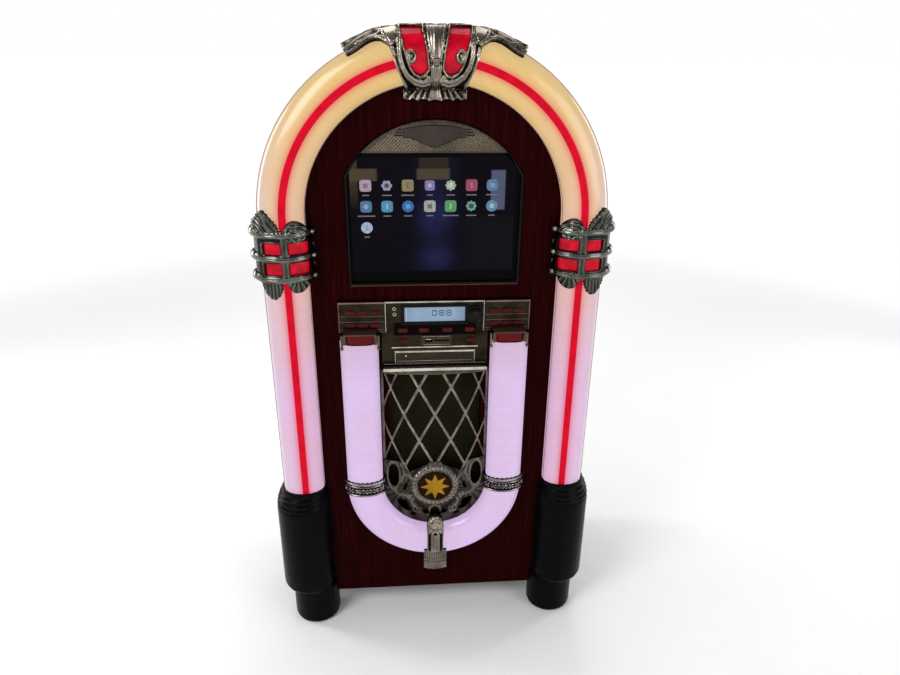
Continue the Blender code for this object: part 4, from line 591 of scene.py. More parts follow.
TRIM_BLACK = Moulded("satin_black", (10, 8, 8), (17, 14, 14), smooth=0.28, rough=0.42, gloss=0.08)
KNOB_BLACK = Moulded("knob_black", (10, 9, 9), (18, 16, 14), smooth=0.3, rough=0.45, gloss=0.1)
TRAY_FRONT = Moulded("tray_front", (50, 41, 28), (38, 31, 20), smooth=0.3, rough=0.42, gloss=0.1)
INK = Moulded("display_ink", (34, 46, 60), (24, 34, 46), gloss=0.05)
SHIELD = Moulded("shield_silver", (68, 61, 58), (54, 48, 45), 1.0, 0.3, 0.42)
SHIELD_EDGE = Moulded("shield_edge", (26, 22, 20), (18, 15, 14), gloss=0.1)
BRONZE = Moulded("bronze_lip", (104, 62, 52), (76, 42, 36), 0.6)
PHONO_RED = Moulded("socket_red", (170, 24, 26), (140, 16, 18))
PHONO_WHITE = Moulded("socket_white", (214, 212, 204), (196, 194, 186))
SPEAKER_BLACK = Moulded("speaker_black", (14, 14, 14), (26, 26, 26), smooth=0.5, rough=0.7)
TURNTABLE = Moulded("turntable_grey", (98, 98, 100), (84, 84, 86))
NYLON = Moulded("white_nylon", (222, 218, 206), (206, 202, 190), smooth=0.4, rough=0.5)
LED_BOARD = Moulded("led_board_white", (222, 222, 214), (200, 200, 190))
CIRCUIT = Moulded("circuit_board_green", (18, 74, 40), (12, 56, 30), smooth=0.3, rough=0.5)
STEEL = Moulded("zinc_steel", (150, 152, 152), (116, 118, 118), 1.0, patch=80.0)
GOLD = Moulded("star_gold", (162, 122, 12), (136, 96, 6), 0.35, 0.28)
DISC_BROWN = Moulded("medallion_ground", (34, 20, 8), (20, 11, 4), smooth=0.4, rough=0.55, gloss=0.03)
CLOTH = Weave("grille_cloth")
SCREEN = ScreenPicture("screen_glass")
ICON_TINT = Tinted("screen_marks")
LCD = LcdBoard("lcd_board")
FLOOR = StudioFloor("studio_floor")


# ---------------------------------------------------------------- meshes


def outward(mesh: bpy.types.Mesh, merge: float = 0.0) -> None:
    """Turns a mesh's faces outwards, after its doubles within merge are joined."""
    body = bmesh.new()
    body.from_mesh(mesh)
    if merge:
        bmesh.ops.remove_doubles(body, verts=body.verts, dist=merge)
    bmesh.ops.recalc_face_normals(body, faces=body.faces)
    body.to_mesh(mesh)
    body.free()


def make_mesh(name: str, points: Sequence[Sequence[float]], faces: Sequence[Sequence[int]]) -> bpy.types.Mesh:
    """A mesh from points and faces, its faces turned outwards."""
    mesh = bpy.data.meshes.new(name)
    mesh.from_pydata([tuple(p) for p in points], [], [tuple(f) for f in faces])
    outward(mesh, 1e-6)
    return mesh


def link(name: str, data: bpy.types.ID) -> bpy.types.Object:
    """A new object in the scene."""
    item = bpy.data.objects.new(name, data)
    bpy.context.scene.collection.objects.link(item)
    return item


def place(name: str, mesh: bpy.types.Mesh, sharp: float = 38.0) -> bpy.types.Object:
    """Puts a mesh in the scene, smooth but for edges that turn by more than sharp degrees."""
    mesh.shade_smooth()
    mesh.set_sharp_from_angle(angle=math.radians(sharp))
    return link(name, mesh)


def settle(piece: bpy.types.Object) -> None:
    """Turns a piece with live modifiers into a plain mesh."""
    bpy.context.view_layer.update()
    solid = piece.evaluated_get(bpy.context.evaluated_depsgraph_get())
    mesh = bpy.data.meshes.new_from_object(solid)
    piece.modifiers.clear()
    piece.data = mesh


def soften(piece: bpy.types.Object, width: float) -> None:
    """Rounds a piece's edges by a bevel of that width and keeps its flats flat."""
    bevel = piece.modifiers.new("edges", "BEVEL")
    bevel.width, bevel.segments = width, 2
    bevel.limit_method, bevel.angle_limit = "ANGLE", math.radians(32.0)
    bevel.use_clamp_overlap = True
    piece.modifiers.new("flats", "WEIGHTED_NORMAL").keep_sharp = True
    settle(piece)


def dress(piece: bpy.types.Object, finish: Finish, slot: str, *nodes: str, body: str = CABINET) -> None:
    """Gives a piece its finish, hides the nodes that it stands for and attaches it to its body.

    Args:
        piece: the finished mesh object.
        finish: its finish; a piece that has its materials already keeps them.
        slot: the record's material slot; not used.
        nodes: CAD nodes that it replaces.
        body: the CAD body it moves with.
    """
    if not any(piece.data.materials):
        piece.data.materials.clear()
        piece.data.materials.append(finish.material())
    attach(piece, body)
    if nodes:
        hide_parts(*nodes)
    LOG.info("%s: %d faces on %s", piece.name, len(piece.data.polygons), body)


def refined(node: str, width: float = 0.0) -> bpy.types.Object:
    """A merged copy of a CAD node whose edges are softened by that width."""
    body = bmesh.new()
    body.from_mesh(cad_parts[node].data)
    bmesh.ops.remove_doubles(body, verts=body.verts, dist=2e-6)
    bmesh.ops.dissolve_limit(body, angle_limit=math.radians(0.3), verts=body.verts, edges=body.edges)
    mesh = bpy.data.meshes.new(node + "_shape")
    body.to_mesh(mesh)
    body.free()
    piece = place(node + "_shape", mesh)
    if width:
        soften(piece, width)
    return piece


def cover(node: str, width: float, finish: Finish, slot: str, body: str = CABINET) -> None:
    """Dresses a softened copy of a CAD node, which takes the node's place."""
    dress(refined(node, width), finish, slot, node, body=body)


def repaint(node: str, finish: Finish) -> None:
    """Gives a CAD node its finish and leaves its mesh alone."""
    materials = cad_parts[node].data.materials
    materials.clear()
    materials.append(finish.material())
    LOG.info("%s: CAD shape in %s", node, finish.name)


def loft(rings: Sequence[Sequence[Point]]) -> Skin:
    """Skins rings of equal length and closes both ends, which are the last two faces."""
    count = len(rings[0])
    faces = []
    for row in range(0, (len(rings) - 1) * count, count):
        for column in range(count):
            after = (column + 1) % count
            faces.append([row + column, row + after, row + count + after, row + count + column])
    faces.append(list(range(count))[::-1])
    faces.append([(len(rings) - 1) * count + column for column in range(count)])
    return [point for ring in rings for point in ring], faces


def joined(skins: Iterable[Skin]) -> Skin:
    """Several skins as one."""
    points: list[Point] = []
    faces: list[list[int]] = []
    for ring, skin in skins:
        faces += [[index + len(points) for index in face] for face in skin]
        points += ring
    return points, faces


def turned(profile: Sequence[Pair], centre: Pair, sides: int, hollow: bool = False) -> Skin:
    """Turns a profile about an axis that runs forwards.

    Args:
        profile: pairs of radius and Y.
        centre: the axis' X and Z.
        sides: faces round the axis.
        hollow: join the profile's end to its start, as in a ring.

    Returns:
        The points and faces.
    """
    rings = [[(centre[0] + radius * math.cos(TURN * k / sides), y, centre[1] + radius * math.sin(TURN * k / sides))
              for k in range(sides)] for radius, y in [*profile, *profile[:hollow]]]
    points, faces = loft(rings)
    return points, faces[:-2] if hollow else faces


def solid(name: str, skin: Skin, finish: Finish, slot: str, *nodes: str, body: str = CABINET,
          sharp: float = 38.0) -> None:
    """Builds and dresses a piece from its points and faces; the other arguments are those of dress and place."""
    dress(place(name, make_mesh(name, *skin), sharp), finish, slot, *nodes, body=body)


def corners(left: float, right: float, bottom: float, top: float) -> list[Pair]:
    """A rectangle's corners."""
    return [(left, bottom), (right, bottom), (right, top), (left, top)]


def bars(name: str, boxes: Sequence[Sequence[float]], finish: Finish, slot: str = "chromed_plastic",
         chamfer: float = 0.0003, body: str = CABINET) -> None:
    """Builds plain bars on the front as one piece; their front edges are chamfered.

    Args:
        name: the piece's name.
        boxes: low and high X, low and high reach, low and high Z of each bar.
        finish: the piece's finish.
        slot: the record's material slot.
        chamfer: the chamfer's width.
        body: the CAD body it moves with.
    """
    skins = []
    for left, right, low, high, bottom, top in boxes:
        skins.append(loft([
            [(x, front(reach), z) for x, z in corners(left + inset, right - inset, bottom + inset, top - inset)]
            for reach, inset in ((low, 0.0), (high - chamfer, 0.0), (high, chamfer))
        ]))
    solid(name, joined(skins), finish, slot, body=body)


def blob(centre: Pair, half: float, power: float = 2.0, teeth: int = 0, steps: int = 32) -> list[Pair]:
    """Outline of a disc, a rounded square or a toothed wheel.

    Args:
        centre: its X and Z.
        half: half its width.
        power: 2 for a disc, more for a squarer shape.
        teeth: teeth round the edge.
        steps: points of the outline.

    Returns:
        The outline.
    """
    points = []
    for step in range(steps):
        angle = TURN * step / steps
        c, s = math.cos(angle), math.sin(angle)
        reach = half * (1 - 0.1 * (1 - math.cos(angle * teeth)) if teeth else 1.0)
        points.append((centre[0] + reach * math.copysign(abs(c) ** (2 / power), c),
                       centre[1] + reach * math.copysign(abs(s) ** (2 / power), s)))
    return points


# ---------------------------------------------------------------- geometry nodes


class Shape(Graph):
    """A geometry node tree with named inputs."""

    def __init__(self, name: str, inputs: Sequence[tuple[str, str]]) -> None:
        """Starts a tree.

        Args:
            name: the tree's name.
            inputs: pairs of a label and a socket kind, such as Float.
        """
        super().__init__(bpy.data.node_groups.new(name, "GeometryNodeTree"))
        face = self.tree.interface
        face.new_socket("Geometry", in_out="INPUT", socket_type="NodeSocketGeometry")
        for label, kind in inputs:
            face.new_socket(label, in_out="INPUT", socket_type="NodeSocket" + kind)
        face.new_socket("Material", in_out="INPUT", socket_type="NodeSocketMaterial")
        face.new_socket("Geometry", in_out="OUTPUT", socket_type="NodeSocketGeometry")
        self.given = self.add("NodeGroupInput").outputs

    def end(self, geometry: object) -> None:
        """Closes the tree with Realize Instances and Set Material."""
        real = self.add("GeometryNodeRealizeInstances", {0: geometry})
        painted = self.add("GeometryNodeSetMaterial", {"Geometry": real, "Material": self.given["Material"]})
        self.add("NodeGroupOutput", {0: painted})

    def grow(self, name: str, seed: bpy.types.Mesh, finish: Finish, **values: float) -> bpy.types.Object:
        """Runs the tree on a seed mesh and keeps the result as a plain mesh.

        Args:
            name: the new piece's name.
            seed: the mesh that the tree starts from.
            finish: the finish of the result.
            values: the tree's inputs, named with _ for a space.

        Returns:
            The piece.
        """
        piece = link(name, seed)
        modifier = piece.modifiers.new("shape", "NODES")
        modifier.node_group = self.tree
        for item in self.tree.interface.items_tree:
            if item.in_out != "INPUT":
                continue
            if item.name == "Material":
                modifier[item.identifier] = finish.material()
            elif item.name.replace(" ", "_") in values:
                modifier[item.identifier] = values[item.name.replace(" ", "_")]
        settle(piece)
        piece.data.shade_smooth()
        piece.data.set_sharp_from_angle(angle=math.radians(38))
        return piece


def sweep_tree() -> Shape:
    """The tree that sweeps a profile along two legs and the half circle between them.

    Returns:
        The tree. Its seed mesh is the profile's outline: X is the reach from the face, Y runs across.
    """
    shape = Shape("light_tube_sweep", [
        ("Bend Radius", "Float"), ("Leg", "Float"), ("Centre Height", "Float"), ("Bend Side", "Float"),
        ("From", "Float"), ("To", "Float"), ("Face", "Float"), ("Steps", "Int"),
    ])
    given, calc = shape.given, shape.calc
    line_seed = shape.add("GeometryNodeCurvePrimitiveLine")
    path = shape.add("GeometryNodeResampleCurve", {"Curve": line_seed, "Count": given["Steps"]})
    share = shape.wire("Factor", "GeometryNodeSplineParameter")
    run = calc("ADD", given["From"], share * calc("SUBTRACT", given["To"], given["From"]))
    past = run - given["Leg"]
    radius = given["Bend Radius"]
    turn = calc("MINIMUM", calc("MAXIMUM", past / radius, 0.0), math.pi)
    x = calc("MULTIPLY", radius, calc("COSINE", turn)) * -1.0
    before = calc("MAXIMUM", past * -1.0, 0.0)
    after = calc("MAXIMUM", past - calc("MULTIPLY", radius, math.pi), 0.0)
    rise = calc("MULTIPLY", radius, calc("SINE", turn)) - (before + after)
    z = calc("ADD", given["Centre Height"], rise * given["Bend Side"])
    spot = shape.add("ShaderNodeCombineXYZ", {0: x, 1: given["Face"], 2: z})
    bent = shape.add("GeometryNodeSetPosition", {"Geometry": path, "Position": spot})
    upright = shape.add("GeometryNodeSetCurveNormal", {"Curve": bent, "Normal": (0.0, -1.0, 0.0)}, mode="FREE")
    outline = shape.add("GeometryNodeMeshToCurve", {"Mesh": given["Geometry"]})
    swept = shape.add("GeometryNodeCurveToMesh",
                      {"Curve": upright, "Profile Curve": outline, "Fill Caps": True})
    shape.end(swept)
    return shape


def stud_tree() -> Shape:
    """The tree that sets one small turned shape on each point of the seed mesh.

    Returns:
        The tree. The seed's facing attribute turns each shape's axis, and its size attribute scales it.
    """
    shape = Shape("studs", [
        ("Sides", "Int"), ("Low Radius", "Float"), ("Top Radius", "Float"), ("Depth", "Float"),
    ])
    given = shape.given
    cone = shape.add("GeometryNodeMeshCone", {
        "Vertices": given["Sides"], "Radius Top": given["Top Radius"], "Radius Bottom": given["Low Radius"],
        "Depth": given["Depth"],
    })
    facing = shape.add("GeometryNodeInputNamedAttribute", {"Name": "facing"}, data_type="FLOAT_VECTOR")
    size = shape.add("GeometryNodeInputNamedAttribute", {"Name": "size"}, data_type="FLOAT")
    turn = shape.add("FunctionNodeAlignRotationToVector", {"Vector": facing.outputs[0]}, axis="Z")
    studs = shape.add("GeometryNodeInstanceOnPoints", {
        "Points": given["Geometry"], "Instance": cone, "Rotation": turn, "Scale": size.outputs[0],
    })
    shape.end(studs)
    return shape


def outline_mesh(name: str, outline: Sequence[Pair]) -> bpy.types.Mesh:
    """A closed outline of edges, for a sweep."""
    count = len(outline)
    mesh = bpy.data.meshes.new(name)
    mesh.from_pydata([(x, y, 0.0) for x, y in outline], [(k, (k + 1) % count) for k in range(count)], [])
    return mesh


def spots_mesh(name: str, spots: Sequence[tuple[Point, Point, float]]) -> bpy.types.Mesh:
    """Bare points for studs.

    Args:
        name: the mesh's name.
        spots: place, facing and size of each stud.

    Returns:
        The mesh of points.
    """
    mesh = bpy.data.meshes.new(name)
    mesh.from_pydata([spot for spot, _, _ in spots], [], [])
    facing = mesh.attributes.new("facing", "FLOAT_VECTOR", "POINT")
    facing.data.foreach_set("vector", [value for _, way, _ in spots for value in way])
    size = mesh.attributes.new("size", "FLOAT", "POINT")
    size.data.foreach_set("value", [scale for _, _, scale in spots])
    return mesh


SWEEP = sweep_tree()
STUDS = stud_tree()


# ---------------------------------------------------------------- carved reliefs

Grid = np.ndarray
Spots = tuple[Grid, Grid, Grid]
Field = Callable[[Grid, Grid], Grid | float]
Layout = Callable[[Grid, Grid], Spots]
Pairs = tuple[Pair, ...]


def disc(u: Grid, v: Grid, centre: Pair, radius: float) -> Grid:
    """Signed distance to a disc, negative inside."""
    return np.hypot(u - centre[0], v - centre[1]) - radius


def oval(u: Grid, v: Grid, centre: Pair, half: Pair) -> Grid:
    """Rough signed distance to an upright oval."""
    share = np.hypot((u - centre[0]) / half[0], (v - centre[1]) / half[1])
    return (share - 1) * min(half)


def slab(u: Grid, v: Grid, centre: Pair, half: Pair, corner: float = 0.0) -> Grid:
    """Signed distance to a rectangle with rounded corners."""
    across = np.abs(u - centre[0]) - half[0] + corner
    along = np.abs(v - centre[1]) - half[1] + corner
    outside = np.hypot(np.maximum(across, 0), np.maximum(along, 0))
    return outside + np.minimum(np.maximum(across, along), 0) - corner


def line(u: Grid, v: Grid, points: Sequence[Pair]) -> Grid:
    """Distance to a line through the points."""
    best = np.full(u.shape, 9.0)
    for (au, av), (bu, bv) in zip(points, points[1:]):
        length = (bu - au) ** 2 + (bv - av) ** 2
        share = np.clip(((u - au) * (bu - au) + (v - av) * (bv - av)) / length, 0, 1)
        best = np.minimum(best, np.hypot(u - au - share * (bu - au), v - av - share * (bv - av)))
    return best


def patch(u: Grid, v: Grid, points: Sequence[Pair]) -> Grid:
    """Signed distance to a closed outline, negative inside."""
    inside = np.zeros(u.shape, bool)
    for (au, av), (bu, bv) in zip(points, list(points[1:]) + [points[0]]):
        if av != bv:
            crossing = ((av > v) != (bv > v)) & (u < (bu - au) * (v - av) / (bv - av) + au)
            inside ^= crossing
    edge = line(u, v, list(points) + [points[0]])
    return np.where(inside, -edge, edge)


def spiral(centre: Pair, radius: float, turns: float, begin: float, hand: int,
           steps: int = 36) -> list[Pair]:
    """Points of a spiral that winds inwards.

    Args:
        centre: its eye.
        radius: where it starts.
        turns: how often it winds.
        begin: the angle where it starts, in degrees.
        hand: 1 for anticlockwise, -1 for clockwise.
        steps: points along it.

    Returns:
        The points.
    """
    points = []
    for step in range(steps + 1):
        share = step / steps
        angle = math.radians(begin) + hand * share * turns * 2 * math.pi
        reach = radius * (1 - 0.82 * share)
        points.append((centre[0] + reach * math.cos(angle), centre[1] + reach * math.sin(angle)))
    return points


def ridge(distance: Grid, half: float, height: float) -> Grid:
    """A round ridge of that half width over a distance."""
    return height * np.sqrt(np.clip(1 - (distance / half) ** 2, 0, 1))


def pillow(distance: Grid, edge: float, height: float) -> Grid:
    """A flat top that rounds off within edge of a signed distance's border."""
    share = np.clip(-distance / edge, 0, 1)
    return height * np.sqrt(1 - (1 - share) ** 2)


def smooth(value: Grid, low: float, high: float) -> Grid:
    """A soft step from 0 to 1."""
    share = np.clip((value - low) / (high - low), 0, 1)
    return share * share * (3 - 2 * share)


def ripple(value: Grid, pitch: float) -> Grid:
    """A cosine wave of that pitch."""
    return np.cos(value * TURN / pitch)


def cord(u: Grid, v: Grid, points: Sequence[Pair], half: float, height: float, groove: float = 0.0,
         depth: float = 0.0) -> Grid:
    """A round ridge along a line, with a groove in its crest where asked."""
    path = line(u, v, points)
    crest = ridge(path, half, height)
    return crest - ridge(path, groove, depth) if groove else crest


def leaf(distance: Grid, edge: float, rise: float, pattern: Grid, fade: float) -> Grid:
    """A pillow inside a signed distance, with a pattern that fades in from its border."""
    return np.where(distance < 0, pillow(distance, edge, rise) + pattern * smooth(-distance, 0, fade), 0)


@dataclass
class Relief:
    """A carved sheet: a grid cut to an outline and closed by a back and walls."""

    across: Pair
    along: Pair
    cell: float
    outline: Field
    face: Layout
    back: Layout
    height: Field
    # a light level of 0 to 1, stored in place of the carved height; low levels get painted shade on plating
    light_level: Field | None = None

    def grid(self) -> tuple[Grid, Grid, Grid]:
        """The grid's places, drawn onto the outline near it, and the signed distance there."""
        columns = max(2, round((self.across[1] - self.across[0]) / self.cell) + 1)
        rows = max(2, round((self.along[1] - self.along[0]) / self.cell) + 1)
        flat_u, flat_v = np.linspace(*self.across, columns), np.linspace(*self.along, rows)
        u, v = np.meshgrid(flat_u, flat_v, indexing="ij")
        distance = self.outline(u, v)
        slope_u, slope_v = np.gradient(distance, flat_u, flat_v)
        steep = np.maximum(slope_u ** 2 + slope_v ** 2, 0.2)
        near = np.abs(distance) < 0.56 * self.cell
        u = np.clip(u - near * distance * slope_u / steep, *self.across)
        v = np.clip(v - near * distance * slope_v / steep, *self.along)
        return u, v, np.where(near, 0.0, distance)

    @staticmethod
    def cells(inside: Grid) -> list[tuple[int, ...]]:
        """Faces of the cells whose corners lie inside, as grid indices."""
        number = np.arange(inside.size).reshape(inside.shape)
        corners = np.stack([number[:-1, :-1], number[1:, :-1], number[1:, 1:], number[:-1, 1:]], -1).reshape(-1, 4)
        kept = inside.reshape(-1)[corners]
        count = kept.sum(1)
        faces = [tuple(row) for row in corners[count == 4].tolist()]
        for row, keep in zip(corners[count == 3].tolist(), kept[count == 3].tolist()):
            faces.append(tuple(corner for corner, stays in zip(row, keep) if stays))
        return faces

    def build(self, name: str) -> bpy.types.Object:
        """Builds the closed piece; the relief attribute keeps its carved height, or the given painted light level."""
        u, v, distance = self.grid()
        faces = self.cells(distance <= 1e-9)
        used = sorted({corner for face in faces for corner in face})
        order = {corner: index for index, corner in enumerate(used)}
        faces = [tuple(order[corner] for corner in face) for face in faces]
        count = len(used)
        u, v = u.reshape(-1)[used], v.reshape(-1)[used]
        top, under = np.stack(self.face(u, v), -1), np.stack(self.back(u, v), -1)
        edges = {(a, b) for face in faces for a, b in zip(face, face[1:] + face[:1])}
        walls = [(a + count, b + count, b, a) for a, b in edges if (b, a) not in edges]
        lower = [tuple(corner + count for corner in reversed(face)) for face in faces]
        mesh = bpy.data.meshes.new(name)
        mesh.from_pydata(np.concatenate([top, under]).tolist(), [], faces + lower + walls)
        carved = self.height(u, v)
        low, high = float(carved.min()), float(carved.max())
        # the stored level drives painted shade: low values darken plating towards its hollow colour
        level = self.light_level(u, v) if self.light_level else (carved - low) / max(high - low, 1e-9)
        store = mesh.attributes.new("relief", "FLOAT", "POINT")
        store.data.foreach_set("value", np.concatenate([level, level * 0]).astype(np.float32))
        outward(mesh)
        return place(name, mesh, 50.0)


@dataclass(frozen=True)
class TubeSkin:
    """The outer skin of a domed tube, run out flat along the face on both sides."""

    half: float
    side: float
    bulge: float
    apron: float = 0.0
    blend: float = 0.0

    def table(self) -> tuple[Grid, Grid, Grid, Grid, Grid]:
        """Length along the skin from its crest, place across, reach, and the normal's two parts."""
        turn = np.linspace(0, math.pi / 2, 160)
        rise = self.bulge - self.side
        across = np.concatenate([self.half * np.sin(turn), np.full(24, self.half),
                                 self.half + np.linspace(0, self.apron, 24)[1:]])
        reach = np.concatenate([self.side + rise * np.cos(turn), self.side * np.linspace(1, 0, 25)[1:],
                                np.zeros(23)])
        first = across / self.half ** 2
        second = np.maximum(reach - self.side, 0) / rise ** 2
        flat = np.arange(len(across)) >= 184
        first, second = np.where(flat, 0.0, first), np.where(flat, 1.0, second)
        size = np.hypot(first, second)
        first, second = first / size, second / size
        run = np.concatenate([[0], np.cumsum(np.hypot(np.diff(across), np.diff(reach)))])
        if self.blend:
            even = np.linspace(0, run[-1], 600)
            span = max(3, int(self.blend / (even[1] - even[0])) | 1)
            parts = []
            for part in (across, reach, first, second):
                values = np.interp(even, run, part)
                if part is first or part is second:
                    padded = np.pad(values, span // 2, mode="edge")
                    if part is first:
                        padded[:span // 2] = -values[1:span // 2 + 1][::-1]
                    values = np.convolve(padded, np.ones(span) / span, mode="valid")
                parts.append(values)
            run, (across, reach, first, second) = even, parts
        return run, across, reach, first, second

    def length(self) -> float:
        """Length of the skin from its crest to the foot of its side."""
        run, across, reach, _, _ = self.table()
        return float(run[np.argmax(reach <= 1e-6)])

    def lay(self, place_on: Grid, height: Grid | float) -> tuple[Grid, Grid]:
        """Place across and reach of a point at that length along the skin and height above it."""
        run, across, reach, first, second = self.table()
        where, hand = np.abs(place_on), np.sign(place_on)
        out = np.interp(where, run, across) + np.interp(where, run, first) * height
        return out * hand, np.interp(where, run, reach) + np.interp(where, run, second) * height

    def on_leg(self, sign: int, radius: float, height: Field) -> Layout:
        """How a grid of skin lengths and heights lies on the upright tube of that side and distance."""
        def spots(s: Grid, z: Grid) -> Spots:
            """Places of the grid's points."""
            across, reach = self.lay(s, height(s, z))
            return sign * (radius + across), FACE - reach, z
        return spots

    def flat(self, place_on: Grid) -> Grid:
        """Place across as the front shows it, running on down the side."""
        turn = np.linspace(0, math.pi / 2, 160)
        rise = self.bulge - self.side
        across, reach = self.half * np.sin(turn), rise * np.cos(turn)
        run = np.concatenate([[0], np.cumsum(np.hypot(np.diff(across), np.diff(reach)))])
        where = np.abs(place_on)
        return np.sign(place_on) * (np.interp(where, run, across) + np.maximum(where - run[-1], 0))


# ---------------------------------------------------------------- the object


@dataclass
class Cabinet:
    """The wooden body: veneered face and shell, black base and back."""

    face_edge: float = 0.0012
    board_edge: float = 0.001
    back_edge: float = 0.0005

    def build(self) -> None:
        """Builds the four boards."""
        cover("front_panel", self.face_edge, MAHOGANY, "wood")
        cover("cabinet_shell", self.board_edge, SIDE_VENEER, "wood")
        cover("base_plinth", self.board_edge, BOARD_BLACK, "black_board")
        cover("back_panel", self.back_edge, BOARD_BLACK, "black_board")


@dataclass
class LightTubes:
    """The milky light tubes, the red stripe and the thin rim beside them."""

    half: float = 0.03505
    side: float = 0.008
    bulge: float = 0.03
    wall: float = 0.003
    bow_half: float = 0.0315
    bow_bulge: float = 0.0255
    arc_steps: int = 28
    joint: float = 0.738
    low: float = 0.2853
    bow_top: float = 0.5857
    gap: float = 0.0003
    stripe_half: float = 0.0055
    stripe_low: float = 0.029
    stripe_top: float = 0.0317
    rim_half: float = 0.0008
    rim_reach: float = 0.0105
    rim_end: float = 0.02
    bend_steps: int = 120
    line_steps: int = 160
    leg_steps: int = 12

    def channel(self, half: float, bulge: float) -> list[Pair]:
        """The outline of a hollow domed wall, as pairs of reach and place across."""
        outer = [(self.gap, -half)]
        inner = [(self.gap, -(half - self.wall))]
        for step in range(self.arc_steps + 1):
            turn = math.pi * step / self.arc_steps
            outer.append((self.side + (bulge - self.side) * math.sin(turn), -half * math.cos(turn)))
            inner.append((self.side + (bulge - self.side - self.wall) * math.sin(turn),
                          -(half - self.wall) * math.cos(turn)))
        return [*outer, (self.gap, half), (self.gap, half - self.wall), *inner[::-1]]

    def run(self, name: str, outline: list[Pair], finish: Finish, slot: str, bend: Bend, begin: float, end: float,
            steps: int, *nodes: str) -> None:
        """Sweeps one outline along a stretch of a bent path and dresses it.

        Args:
            name: the piece's name.
            outline: pairs of reach and place across.
            finish: its finish.
            slot: the record's material slot.
            bend: the path.
            begin: length along the path where the piece starts.
            end: where it ends.
            steps: points along it.
            nodes: CAD nodes that it replaces.
        """
        centre, radius, way = bend.value
        piece = SWEEP.grow(name, outline_mesh(name, outline), finish, Bend_Radius=radius, Leg=self.leg(bend),
                           Centre_Height=centre, Bend_Side=float(way), From=begin, To=end, Face=FACE, Steps=steps)
        dress(piece, finish, slot, *nodes)

    def leg(self, bend: Bend) -> float:
        """Length of a path's upright legs."""
        return ARCH_CENTRE - self.low if bend is Bend.ARCH else self.bow_top - BOW_CENTRE

    def build(self) -> None:
        """Builds every tube in turn."""
        wall = self.channel(self.half, self.bulge)
        joint, slip = self.joint - self.low, self.gap / 2
        total = 2 * self.leg(Bend.ARCH) + math.pi * TUBE_PATH_RADIUS
        self.run("arch_light", wall, ARCH_GLOW, "arch_diffuser", Bend.ARCH, joint + slip, total - joint - slip,
                 self.bend_steps, "arch_tube")
        for side, begin, end in (("left", 0.0, joint - slip), ("right", total - joint + slip, total)):
            self.run(f"{side}_column_light", wall, COLUMN_GLOW, "column_diffuser", Bend.ARCH, begin, end,
                     self.leg_steps, f"{side}_column_tube")
        band = [(self.stripe_low, -1.0), (self.stripe_top - 0.0007, -1.0), (self.stripe_top - 0.0002, -0.7),
                (self.stripe_top, 0.0), (self.stripe_top - 0.0001, 0.7), (self.stripe_top - 0.0005, 1.0),
                (self.stripe_low, 1.0)]
        band = [(reach, share * self.stripe_half + STRIPE_SHIFT) for reach, share in band]
        self.run("red_stripe_band", band, RED_STRIPE, "red_plastic", Bend.ARCH, 0.0, total, self.line_steps,
                 "red_stripe")
        ring = [(self.rim_reach + self.rim_half * math.cos(k * math.pi / 5),
                 self.half + self.rim_half * math.sin(k * math.pi / 5)) for k in range(10)]
        for sign, label in ((1, "outer"), (-1, "inner")):
            self.run(f"arch_{label}_rim", [(reach, sign * across) for reach, across in ring], TUBE_RIM,
                     "chromed_plastic", Bend.ARCH, self.rim_end, total - self.rim_end, self.line_steps)
        self.run("bow_light", self.channel(self.bow_half, self.bow_bulge), BOW_GLOW, "inner_diffuser", Bend.BOW,
                 0.0, 2 * self.leg(Bend.BOW) + math.pi * BOW_PATH_RADIUS, self.bend_steps, "inner_tube")
        repaint("outer_led_strip", LED_BOARD)
        repaint("inner_led_strip", LED_BOARD)


@dataclass
class Boots:
    """Ribbed black pedestals under the columns."""

    edge: float = 0.0004

    def build(self) -> None:
        """Builds both boots."""
        for _, label in SIDES:
            cover(f"{label}_boot", self.edge, BOOT_BLACK, "boot_plastic")


